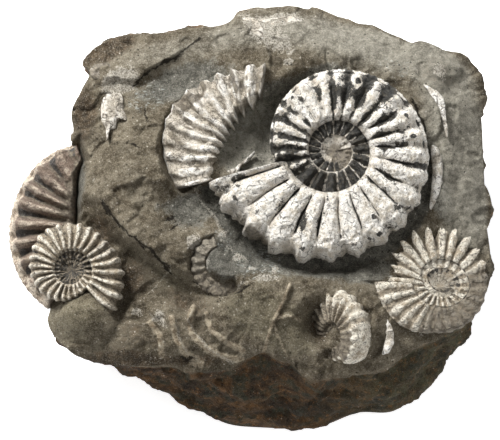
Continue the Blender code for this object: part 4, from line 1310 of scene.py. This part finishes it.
# Painted shade in the furrows of the older turns
stain_and_shade = stain_and_shade + 0.35 * smooth_step(crest, 0.6, 0.1) * (1 - young)
stain_and_shade = stain_and_shade + 0.25 * old * smooth_step(across, 0.86, 1.0)
earth_and_shade = 1 - smooth_step(age, 0.2, 0.42) + paint(points[:, 0], points[:, 1], LARGE_EARTH)
earth_and_shade = earth_and_shade + 0.5 * young * smooth_step(patches(rib, across, 63), 0.2, 0.6)
make_shell("large_ammonite", points, faces, (dark, stain_and_shade, earth_and_shade), white_material, "ammonite_large")

# %% [markdown]
# ## The small ammonite at the lower left
#
# It is cream and grimy rather than white, with painted shade on the flanks of its ribs, a dark, earthy middle
# and a thin painted shadow beside each rib. The same function makes it as the large one: only its looks have
# other numbers.

# %% The small ammonite at the lower left
SMALL_LOOKS = dict(
    lean=0.6,
    inner_ribs=0.85,
    ages=(0, 1.3, 1.5, 2.5),
    fullness=(1, 1, 1.5, 1.4),
    rib_height=(0.05, 0.3, 0.36, 0.32),
    teeth=(0.04, 0.04, 0.04, 0.05),
    ragged=(0, 0, 0.02, 0.03),
    keel_bare=(0.5, 0.5, 0.3, 0),
    slit=0,
    knob=(0.1, 0.1, 0.12, 0.1),
    body=(0.9, 0.9, 1, 1),
)
points, faces, (crest, age, across, rib) = coil_surface(SMALL_LEFT_COIL, 16, 20, SMALL_LOOKS)
points = placed(weather(points, 0.55 * MM, 33), SMALL_LEFT_COIL.matrix())
middle = 1 - smooth_step(age, 1.35, 1.5)
# A thin painted shadow on one side of each rib of the outer turn, and painted shade in the furrows of the
# middle
painted_rib_shadow = np.exp(-((rib - np.floor(rib) - 0.6) / 0.1) ** 2) * (1 - middle)
dark = 0.66 * middle - 0.1 + 0.35 * middle * (0.5 - crest) + painted_rib_shadow * (0.6 + 0.4 * patches(rib / 2, across, 82))
dark = dark + 0.3 * middle * patches(2 * rib, 2 * across, 84)
dark = dark + 0.3 * patches(rib, across, 81) + 0.5 * knob_scar(rib, across)
# Painted shade on the rib flanks, with grime from the noise
stain_and_shade = 0.1 + 0.5 * middle + 0.8 * smooth_step(crest, 0.95, 0.5) + 0.35 * grime(points, 34)
earth_and_shade = 0.55 * middle + 0.4 * middle * patches(3 * rib, 3 * across, 86)
make_shell("small_left_ammonite", points, faces, (dark, stain_and_shade, earth_and_shade), cream_material, "ammonite_small_left")

# %% [markdown]
# ## The ammonite at the right edge
#
# At its upper left, long rib tips stand apart, because the shell between them broke away, and its right side
# is worn into the rock. It isn't round, so its turns are drawn out by a power that differs with the
# direction.

# %% The ammonite at the right edge
RIGHT_LOOKS = dict(
    lean=0.3,
    inner_ribs=0.8,
    ages=(0, 1.45, 1.55, 1.85, 1.98, 2.26, 2.34, 2.5),
    fullness=(1, 1, 1.9, 1.9, 1, 1, 1, 1.2),
    rib_height=(0.06, 0.34, 0.4, 0.42, 0.14, 0.12, 0.26, 0.24),
    teeth=(0.03, 0.03, 0.13, 0.12, 0.04, 0.03, 0.03, 0.01),
    ragged=(0, 0, 0.05, 0.06, 0.01, 0.02, 0.01, 0.005),
    keel_bare=(0, 0, 0, 0, 0, 0, 0.6, 1),
    slit=0,
    knob=(0.1, 0.1, 0.1, 0.1, 0.04, 0.04, 0.06, 0.02),
    body=(1, 1, 1, 1, 0.6, 0.6, 1, 1),
)
# How it is drawn out, from its right side on, every 45 degrees: below 1 moves the inner turns outwards
RIGHT_POWERS = (0.55, 0.58, 0.62, 0.66, 1.05, 1.2, 1.15, 0.85)
RIGHT_REACH = 16.8 * MM
points, faces, (crest, age, across, rib) = coil_surface(RIGHT_COIL, 16, 20, RIGHT_LOOKS)
points = draw_out(weather(points, 0.5 * MM, 35), RIGHT_REACH, RIGHT_POWERS)
points = placed(points, RIGHT_COIL.matrix())
worn = smooth_step(age, 1.86, 1.96) * (1 - smooth_step(age, 2.28, 2.34))  # the stretch worn into the rock
spread = smooth_step(age, 1.5, 1.55) * smooth_step(across, 0.3, 0.7) * (age < 1.9)  # the rib tips
inner = 1 - smooth_step(age, 1.42, 1.5)
clear = smooth_step(age, 0.3, 1.2)  # how clear the ribs still are
# The seam between the turns gets a painted shadow: black in the dark mask and earthy in the earth mask
seam = np.exp(-(across / 0.07) ** 2)
# Painted shade in the furrows, random dark patches, and the painted seam shadow
dark = -0.1 + 0.35 * (0.5 - crest) * clear + 0.3 * patches(rib, across, 83) + 0.8 * seam
# Painted shade in the furrows, with grime
stain_and_shade = 0.7 * smooth_step(crest, 0.7, 0.2) * clear + 0.2 * inner + 0.3 * grime(points, 36)
# The worn stretch and the rock in the middle, and the painted seam shadow on the inner turns
earth_and_shade = 0.65 * worn + 0.5 * (1 - smooth_step(age, 0.2, 0.5)) + 0.5 * inner * seam
earth_and_shade = earth_and_shade + 0.8 * spread * smooth_step(crest, 0.3, 0.05)
make_shell("right_ammonite", points, faces, (dark, stain_and_shade, earth_and_shade), cream_material, "ammonite_right")

# %% [markdown]
# ## The tilted ammonite
#
# This one leans over, so that its outer side and its rim show most, and rock fills its middle. Its rim is
# pale shell with a painted highlight along it, and its furrows have painted shade. Only the matrix that
# places it makes it lean.

# %% The tilted ammonite
TILTED_LOOKS = dict(
    lean=0.4,
    inner_ribs=0.9,
    ages=(0, 1.5, 2.2, 2.34, 2.5),
    fullness=(1, 1, 1.1, 1, 1),
    rib_height=(0.25, 0.3, 0.32, 0.08, 0.02),
    teeth=(0.03, 0.03, 0.03, 0.01, 0),
    ragged=(0, 0.01, 0.015, 0.005, 0.005),
    keel_bare=(0, 0, 0.4, 0.6, 0.5),
    slit=0,
    knob=(0.05, 0.08, 0.08, 0, 0),
    body=(1, 1, 1, 1.1, 1),
)
points, faces, (crest, age, across, rib) = coil_surface(TILTED_COIL, 14, 20, TILTED_LOOKS)
points = placed(weather(points, 0.35 * MM, 37), TILTED_COIL.matrix())
# The rim: pale shell with a painted highlight along it
rim_light = smooth_step(across, 0.6, 0.85)
# Painted shade in the furrows, in the black, the stain and the earth
dark = -0.05 + 0.4 * (0.4 - crest) * (age < 2.3) + 0.25 * patches(rib, across, 85)
stain_and_shade = 0.6 + 0.6 * smooth_step(crest, 0.85, 0.4) * (age < 2.3) - 0.8 * rim_light + 0.3 * grime(points, 38)
earth_and_shade = 0.75 * (1 - smooth_step(age, 1.9, 2.1)) + 0.6 * smooth_step(age, 2.28, 2.36) - 0.5 * rim_light
earth_and_shade = earth_and_shade + 0.5 * (1 - rim_light) * smooth_step(crest, 0.6, 0.2)
make_shell("tilted_ammonite", points, faces, (dark, stain_and_shade, earth_and_shade), cream_material, "ammonite_tilted")

# %% [markdown]
# ## Broken arcs
#
# Three shells show only part of a turn. Each is the same ribbed section, carried from one angle to another
# between an inner and an outer radius that are given at a few angles. Here the ages of the looks are shares
# of the way along the arc. Two more looks shape the broken edges: `claws` is how far the ribs stick out at
# the inner edge, in mm. `slant` is how far the outer edge runs ahead of the inner one at the start and at the
# end, in degrees.


# %% Arcs of a whorl
def soft_interp(share, knots, values, width=0.06):
    """Values between knots, with the corners rounded by a running mean."""
    offsets = np.linspace(-width, width, 9)
    return np.mean([np.interp(share + offset, knots, values) for offset in offsets], axis=0)


def whorl_surface(whorl, rows_per_rib, across_count, looks):
    """Points, faces and marks of an arc: the section's loop of points, carried round its centre.

    A point at the share s along the arc and u across it has the radius inner(s) + (outer(s) - inner(s)) u.
    """
    steps = whorl["ribs"] * rows_per_rib + 1
    share = np.linspace(0, 1, steps)[:, None]
    angles = np.array(whorl["angles"])
    knots = (angles - angles[0]) / (angles[-1] - angles[0])
    outer = soft_interp(share, knots, whorl["outer"]) * MM
    inner = soft_interp(share, knots, whorl["inner"]) * MM
    half = whorl["half"] * MM * (0.75 + 0.25 * np.sin(math.pi * share))
    half = half * at_age(looks, "body", share)
    across = np.linspace(0.0, 1.02, across_count)
    rib = whorl["ribs"] * share + 0.2 * wander(whorl["ribs"] * share / 1.6, looks["seed"])
    rib = rib + 0.3 * (across - 0.4) ** 2 + 0.12 * patches(rib / 3, across / 2, looks["seed"])
    radius, height, crest = ribbed(inner + (outer - inner) * across, across, outer, half, rib, looks, share)
    claws = at_age(looks, "claws", share) * MM * rib_strength(rib)
    radius = radius - claws * crest**1.5 * (1 - smooth_step(across, 0, 0.3))
    foot = np.full_like(inner, -whorl["depth"] * MM)
    radius = np.concatenate((radius[:, :1] * 0.99, radius, outer * 0.97), axis=1)
    height = np.concatenate((foot, height, foot), axis=1)
    slant = (np.pad(across, 1, "edge") - 0.5) * np.interp(share, (0, 1), looks["slant"])
    angle = np.interp(share, knots, angles) * DEG + slant * DEG
    points = np.stack((radius * np.cos(angle), radius * np.sin(angle), height), axis=-1)
    marks = np.stack((crest, share + 0 * crest, across + 0 * crest, rib), axis=-1)
    marks = np.pad(marks, ((0, 0), (1, 1), (0, 0)), "edge")
    index = np.arange(points.shape[0] * points.shape[1]).reshape(points.shape[:2])
    faces = grid_faces(index, closed=True) + [tuple(index[0].tolist()), tuple(index[-1, ::-1].tolist())]
    return points.reshape(-1, 3), faces, marks.reshape(-1, 4).T


# %% [markdown]
# ## The broken whorl beside the large ammonite
#
# It is about a third of a turn of another shell. Its inner edge is broken into claws, one for each rib, and a
# wrinkled band runs along below its keel.

# %% The broken whorl beside the large ammonite
BROKEN_LOOKS = dict(
    seed=7,
    ages=(0, 0.3, 0.5, 1),
    fullness=(1, 1, 1.2, 1.3),
    rib_height=(0.42, 0.42, 0.34, 0.26),
    teeth=(0.06, 0.06, 0.05, 0.04),
    ragged=0.02,
    keel_bare=(0, 0, 0.5, 0.8),
    slit=0,
    knob=(0.1, 0.12, 0.1, 0.06),
    body=1,
    claws=(2.6, 2.2, 1.2, 0.8),
    slant=(0, -11),
)
points, faces, (crest, share, across, rib) = whorl_surface(BROKEN_WHORL, 24, 44, BROKEN_LOOKS)
points = placed(weather(points, 0.55 * MM, 41), whorl_matrix(BROKEN_WHORL))
blots = patches(rib, across, 91)
fibres = patches(rib / 3, 9 * across, 92)
belt = smooth_step(across, 0.62, 0.85) * smooth_step(share, 0.2, 0.4)  # the wrinkled band below the keel
# Painted shade in the furrows, in the black and the stain, with blots, knob scars and the wrinkled band
dark = -0.15 + 0.4 * blots + 0.35 * (0.4 - crest) + 0.4 * knob_scar(rib, across) + 0.3 * fibres * belt
stain_and_shade = 0.1 + 0.6 * blots + 0.7 * smooth_step(crest, 0.8, 0.2) + 0.3 * grime(points, 42)
stain_and_shade = stain_and_shade + 0.5 * belt + 0.5 * fibres * belt - 0.7 * smooth_step(across, 0.96, 1.0)
earth_and_shade = 0.8 * smooth_step(patches(rib, across / 1.5, 94), 0.25, 0.6) + 0.3 * belt * fibres
earth_and_shade = earth_and_shade + 0.5 * (share < 0.04)
make_shell("broken_arc", points, faces, (dark, stain_and_shade, earth_and_shade), white_material, "broken_whorl")

# %% [markdown]
# ## The large whorl at the left edge
#
# This arc lies under the small shell at the lower left. Its ribs are strong and even, with a painted shadow
# on one side of each and a pale rim, so one number is enough for most of its looks.

# %% The large whorl at the left edge
LEFT_LOOKS = dict(
    seed=8,
    ages=(0, 1),
    fullness=1.1,
    rib_height=0.46,
    teeth=0.02,
    ragged=0.01,
    keel_bare=1,
    slit=0,
    knob=0.14,
    body=1,
    claws=0,
    slant=(0, 0),
)
points, faces, (crest, share, across, rib) = whorl_surface(LEFT_WHORL, 30, 56, LEFT_LOOKS)
points = placed(weather(points, 0.5 * MM, 43), whorl_matrix(LEFT_WHORL))
part = rib - np.floor(rib)
rim_light = smooth_step(across, 0.88, 0.93)
# A painted shadow on one side of each rib, darkest at the shoulder
painted_rib_shadow = np.exp(-((part - 0.42) / 0.15) ** 2) * smooth_step(across, 0.2, 0.6)
painted_rib_shadow = painted_rib_shadow * (1 - smooth_step(across, 0.9, 0.95))
dark = -0.15 + painted_rib_shadow * (0.95 + 0.5 * patches(rib / 2, across, 93)) + 0.25 * patches(rib, across, 94)
dark = dark + 0.9 * painted_rib_shadow * np.exp(-((across - 0.84) / 0.08) ** 2)
# Painted shade in the furrows, in the stain and the earth, with grime
stain_and_shade = 0.4 + 0.9 * smooth_step(crest, 0.9, 0.4) + 0.4 * grime(points, 44) - 1.2 * rim_light
earth_and_shade = 0.6 * smooth_step(across, 0.35, 0.1) + 0.6 * smooth_step(crest, 0.5, 0.1) + 0.3 * grime(points, 46)
earth_and_shade = earth_and_shade - 0.7 * rim_light
make_shell("left_arc", points, faces, (dark, stain_and_shade, earth_and_shade), brown_material, "left_whorl", "brown_shell")

# %% [markdown]
# ## The buried whorl
#
# A short arc of a small shell sinks into the rock: its ribs fade half way along it, and earth covers the
# rest.

# %% The buried whorl
BURIED_LOOKS = dict(
    seed=9,
    ages=(0, 0.45, 0.6, 1),
    fullness=(1.2, 1.2, 1, 1),
    rib_height=(0.3, 0.3, 0.1, 0.03),
    teeth=(0.05, 0.05, 0.02, 0),
    ragged=0.02,
    keel_bare=0,
    slit=0,
    knob=(0.1, 0.1, 0, 0),
    body=(1, 1, 0.5, 0.3),
    claws=0,
    slant=(0, 0),
)
points, faces, (crest, share, across, rib) = whorl_surface(BURIED_WHORL, 16, 26, BURIED_LOOKS)
points = placed(weather(points, 0.5 * MM, 45), whorl_matrix(BURIED_WHORL))
dark = -0.1 + 0.3 * patches(rib, across, 95)
# Painted shade in the furrows
stain_and_shade = 0.2 + 0.6 * smooth_step(crest, 0.75, 0.3) - 0.4 * smooth_step(share, 0.25, 0.1)
earth_and_shade = 0.2 + 0.8 * smooth_step(share, 0.4, 0.6)
make_shell("buried_arc", points, faces, (dark, stain_and_shade, earth_and_shade), grey_material, "buried_whorl", "brown_shell")

# %% [markdown]
# ## Loose plates
#
# Between the coils lie flakes of shell. A flake is an outline with rings of points inside it, a little
# domed, so that its edge dips into the rock and its middle catches the light.

# %% Plates of shell
# Each plate's centre and outline, its thickness (mm), its tilt (degrees), and how stained and earthy it is
PLATES = dict(
    shell_flake_right=dict(
        centre=(56.4, 7.2, -1.2),
        outline=[
            (-1.2, 9.7), (-2.0, 8.6), (-1.6, 2.5), (-1.9, -3), (-2.6, -9.2), (-1.7, -9.6), (0.2, -5.5),
            (1.2, 0), (1.2, 4.5), (0.3, 8.2),
        ],
        thickness=1.2,
        tilt=(0, -20),
        stain_and_shade=0,
        earth_and_shade=-0.2,
    ),
    shell_edge_upper_right=dict(
        centre=(58.4, 27.2, 0.5),
        outline=[
            (-5.4, 7.8), (-5.6, 7.2), (-1.2, 3.6), (-0.4, -2), (0.6, -7.6), (1.3, -7.4), (0.6, -2),
            (-0.4, 4.2),
        ],
        thickness=0.7,
        tilt=(0, 6),
        stain_and_shade=0.2,
        earth_and_shade=0.0,
    ),
    shell_edge_lower=dict(
        centre=(41.5, -40.4, -1.4),
        outline=[
            (-1.6, 5.2), (-2.8, 5.0), (-2.4, 2.6), (-0.9, 0.6), (-0.4, -2.4), (-0.9, -4.9), (-2.0, -6.6),
            (-0.3, -6.2), (1.3, -4), (1.5, -1), (0.6, 2.2),
        ],
        thickness=0.9,
        tilt=(0, 0),
        stain_and_shade=0.1,
        earth_and_shade=0.0,
    ),
    shell_fragment_upper_left=dict(
        centre=(-41.4, 26.6, -0.6),
        outline=[
            (2.6, 5.6), (-1.6, 5.8), (-3.4, 3), (-3.4, -2), (-2.2, -4.2), (-1.6, -8.4), (-0.9, -5.2),
            (0.8, -4.6), (2, -1.8), (4.4, -2.4), (3.4, 1),
        ],
        thickness=1.7,
        tilt=(0, -5),
        stain_and_shade=0.4,
        earth_and_shade=0.2,
    ),
    shell_patch_back=dict(
        centre=(6.8, 52.2, -2.3),
        outline=[
            (9.4, 3.2), (5, 5.4), (-2, 4.4), (-8.8, 4.8), (-8.4, 1.4), (-1.6, -3.6), (3.4, -5.4), (2.2, -1.6),
            (7.2, 0.2),
        ],
        thickness=1.2,
        tilt=(-14, 0),
        stain_and_shade=0.4,
        earth_and_shade=0.25,
    ),
    shell_crumb_at_mouth=dict(
        centre=(-4.4, 8.6, -1.2),
        outline=[
            (5.6, 6.2), (0.2, 1.4), (-3.2, -0.2), (-2.6, -1.6), (0.6, -1.2), (1.6, 1.2), (4.2, 3.6),
        ],
        thickness=1.3,
        tilt=(0, 0),
        stain_and_shade=0.3,
        earth_and_shade=0.2,
    ),
    shell_scrap_left_rim=dict(
        centre=(-43.6, 39.6, -2.2),
        outline=[
            (4.6, -1.2), (3.2, 1.6), (-1.2, 2.8), (-4.4, 1.4), (-4.2, -1.4), (0, -2.6),
        ],
        thickness=1.2,
        tilt=(4, 0),
        stain_and_shade=0.7,
        earth_and_shade=0.6,
    ),
)
PLATE_RINGS = 14
PLATE_SPOKES = 110


# %% The surface of a plate
def plate_surface(outline, thickness, seed):
    """Rings of a ragged outline that shrink to its middle, domed, with wrinkles, over a flat underside."""
    edge = closed_curve(np.array(outline) * MM, PLATE_SPOKES)
    middle = edge.mean(axis=0)
    share = np.concatenate(([1.0], np.linspace(1, 0.04, PLATE_RINGS)))[:, None, None]
    flat = middle + (edge - middle) * share
    ragged = noise(np.concatenate((edge, np.full((len(edge), 1), seed * MM)), axis=1), 1.3 * MM, seed)
    outward = (edge - middle) / np.linalg.norm(edge - middle, axis=1, keepdims=True)
    flat = flat + outward * (0.28 * MM * ragged[:, None] * share)
    dome = (1 - share[..., 0] ** 3) ** 0.6
    spots = np.concatenate((flat, np.zeros((*flat.shape[:2], 1))), axis=-1)
    folds = 0.5 - 2.2 * np.abs(noise(spots, 3.4 * MM, seed)) + 0.4 * fractal(spots, 1.6 * MM, 2, seed)
    height = thickness * MM * (0.1 + 0.6 * dome) + 0.45 * MM * dome * folds
    height[0] = -1.6 * MM
    ring = np.concatenate((flat, height[..., None]), axis=-1)
    points = np.concatenate((ring.reshape(-1, 3), [[*middle, height[-1].mean()]]))
    index = np.arange(ring.shape[0] * ring.shape[1]).reshape(ring.shape[:2])
    faces = grid_faces(index, closed=True) + [tuple(index[0].tolist())]
    faces += [(a, b, len(points) - 1) for a, b in zip(index[-1].tolist(), np.roll(index[-1], -1).tolist())]
    return points, faces


for seed, (node, plate) in enumerate(PLATES.items(), 51):
    points, faces = plate_surface(plate["outline"], plate["thickness"], seed)
    points = placed(points, tilted_place(plate["centre"], plate["tilt"]))
    creases = smooth_step(np.abs(noise(points, 3.4 * MM, seed + 1)), 0.12, 0.02)
    stain_and_shade = plate["stain_and_shade"] + 0.8 * grime(points, seed)
    marks = (0.5 * creases, stain_and_shade, plate["earth_and_shade"] + 0.5 * creases)
    make_shell(node.replace("shell", "plate"), points, faces, marks, white_material, node)

# %% [markdown]
# ## Floor, light and camera
#
# The block lies on a plain pale floor. A wide soft light stands behind it and to the left, high up, so the
# ribs throw short shadows towards the viewer and the front side stays dark. The camera looks down steeply
# through a long lens, square to the fossil face but for a few degrees.

# %% Floor, light and camera
CAMERA_DISTANCE = 1.5
CAMERA_ELEVATION = 78 * DEG
PHOTO_WIDTH = 0.150  # what the photo's width spans at the height of the fossil face
CAMERA_TARGET = Vector((0, -6.5 * MM, FACE_HEIGHT))

bpy.ops.mesh.primitive_plane_add(size=4, location=(0, 0, 0))
floor = bpy.context.object
floor.name = "floor"
floor_finish = Finish("pale_floor")
floor.data.materials.append(floor_finish.wear(Base_Color=(0.9, 0.9, 0.9, 1), Roughness=0.9,
                                              Emission_Color=(1, 1, 1, 1), Emission_Strength=0.75))


def soft_light(name, place, target, size, power):
    """A square area light at a place in metres, aimed at a target."""
    light = bpy.data.lights.new(name, "AREA")
    light.size = size
    light.energy = power
    lamp = bpy.data.objects.new(name, light)
    lamp.location = place
    lamp.rotation_euler = (Vector(place) - Vector(target)).to_track_quat("Z", "Y").to_euler()
    bpy.context.scene.collection.objects.link(lamp)
    return lamp


soft_light("key_light", (-0.5, 0.7, 0.75), (0, 0, 0.04), 0.4, 25.5)
soft_light("fill_light", (0.7, -0.5, 1.0), (0, 0, 0.04), 0.9, 2.5)

world = bpy.data.worlds.new("studio")
world.use_nodes = True
world.node_tree.nodes["Background"].inputs["Color"].default_value = (1, 1, 1, 1)
world.node_tree.nodes["Background"].inputs["Strength"].default_value = 0.36
bpy.context.scene.world = world
bpy.context.scene.view_settings.view_transform = "Standard"

camera_data = bpy.data.cameras.new("camera")
camera_data.sensor_width = 36
camera_data.lens = 36 * CAMERA_DISTANCE / PHOTO_WIDTH
camera = bpy.data.objects.new("camera", camera_data)
towards = Vector((0, -math.cos(CAMERA_ELEVATION), math.sin(CAMERA_ELEVATION)))
camera.location = CAMERA_TARGET + towards * CAMERA_DISTANCE
camera.rotation_euler = towards.to_track_quat("Z", "Y").to_euler()
bpy.context.scene.collection.objects.link(camera)
bpy.context.scene.camera = camera
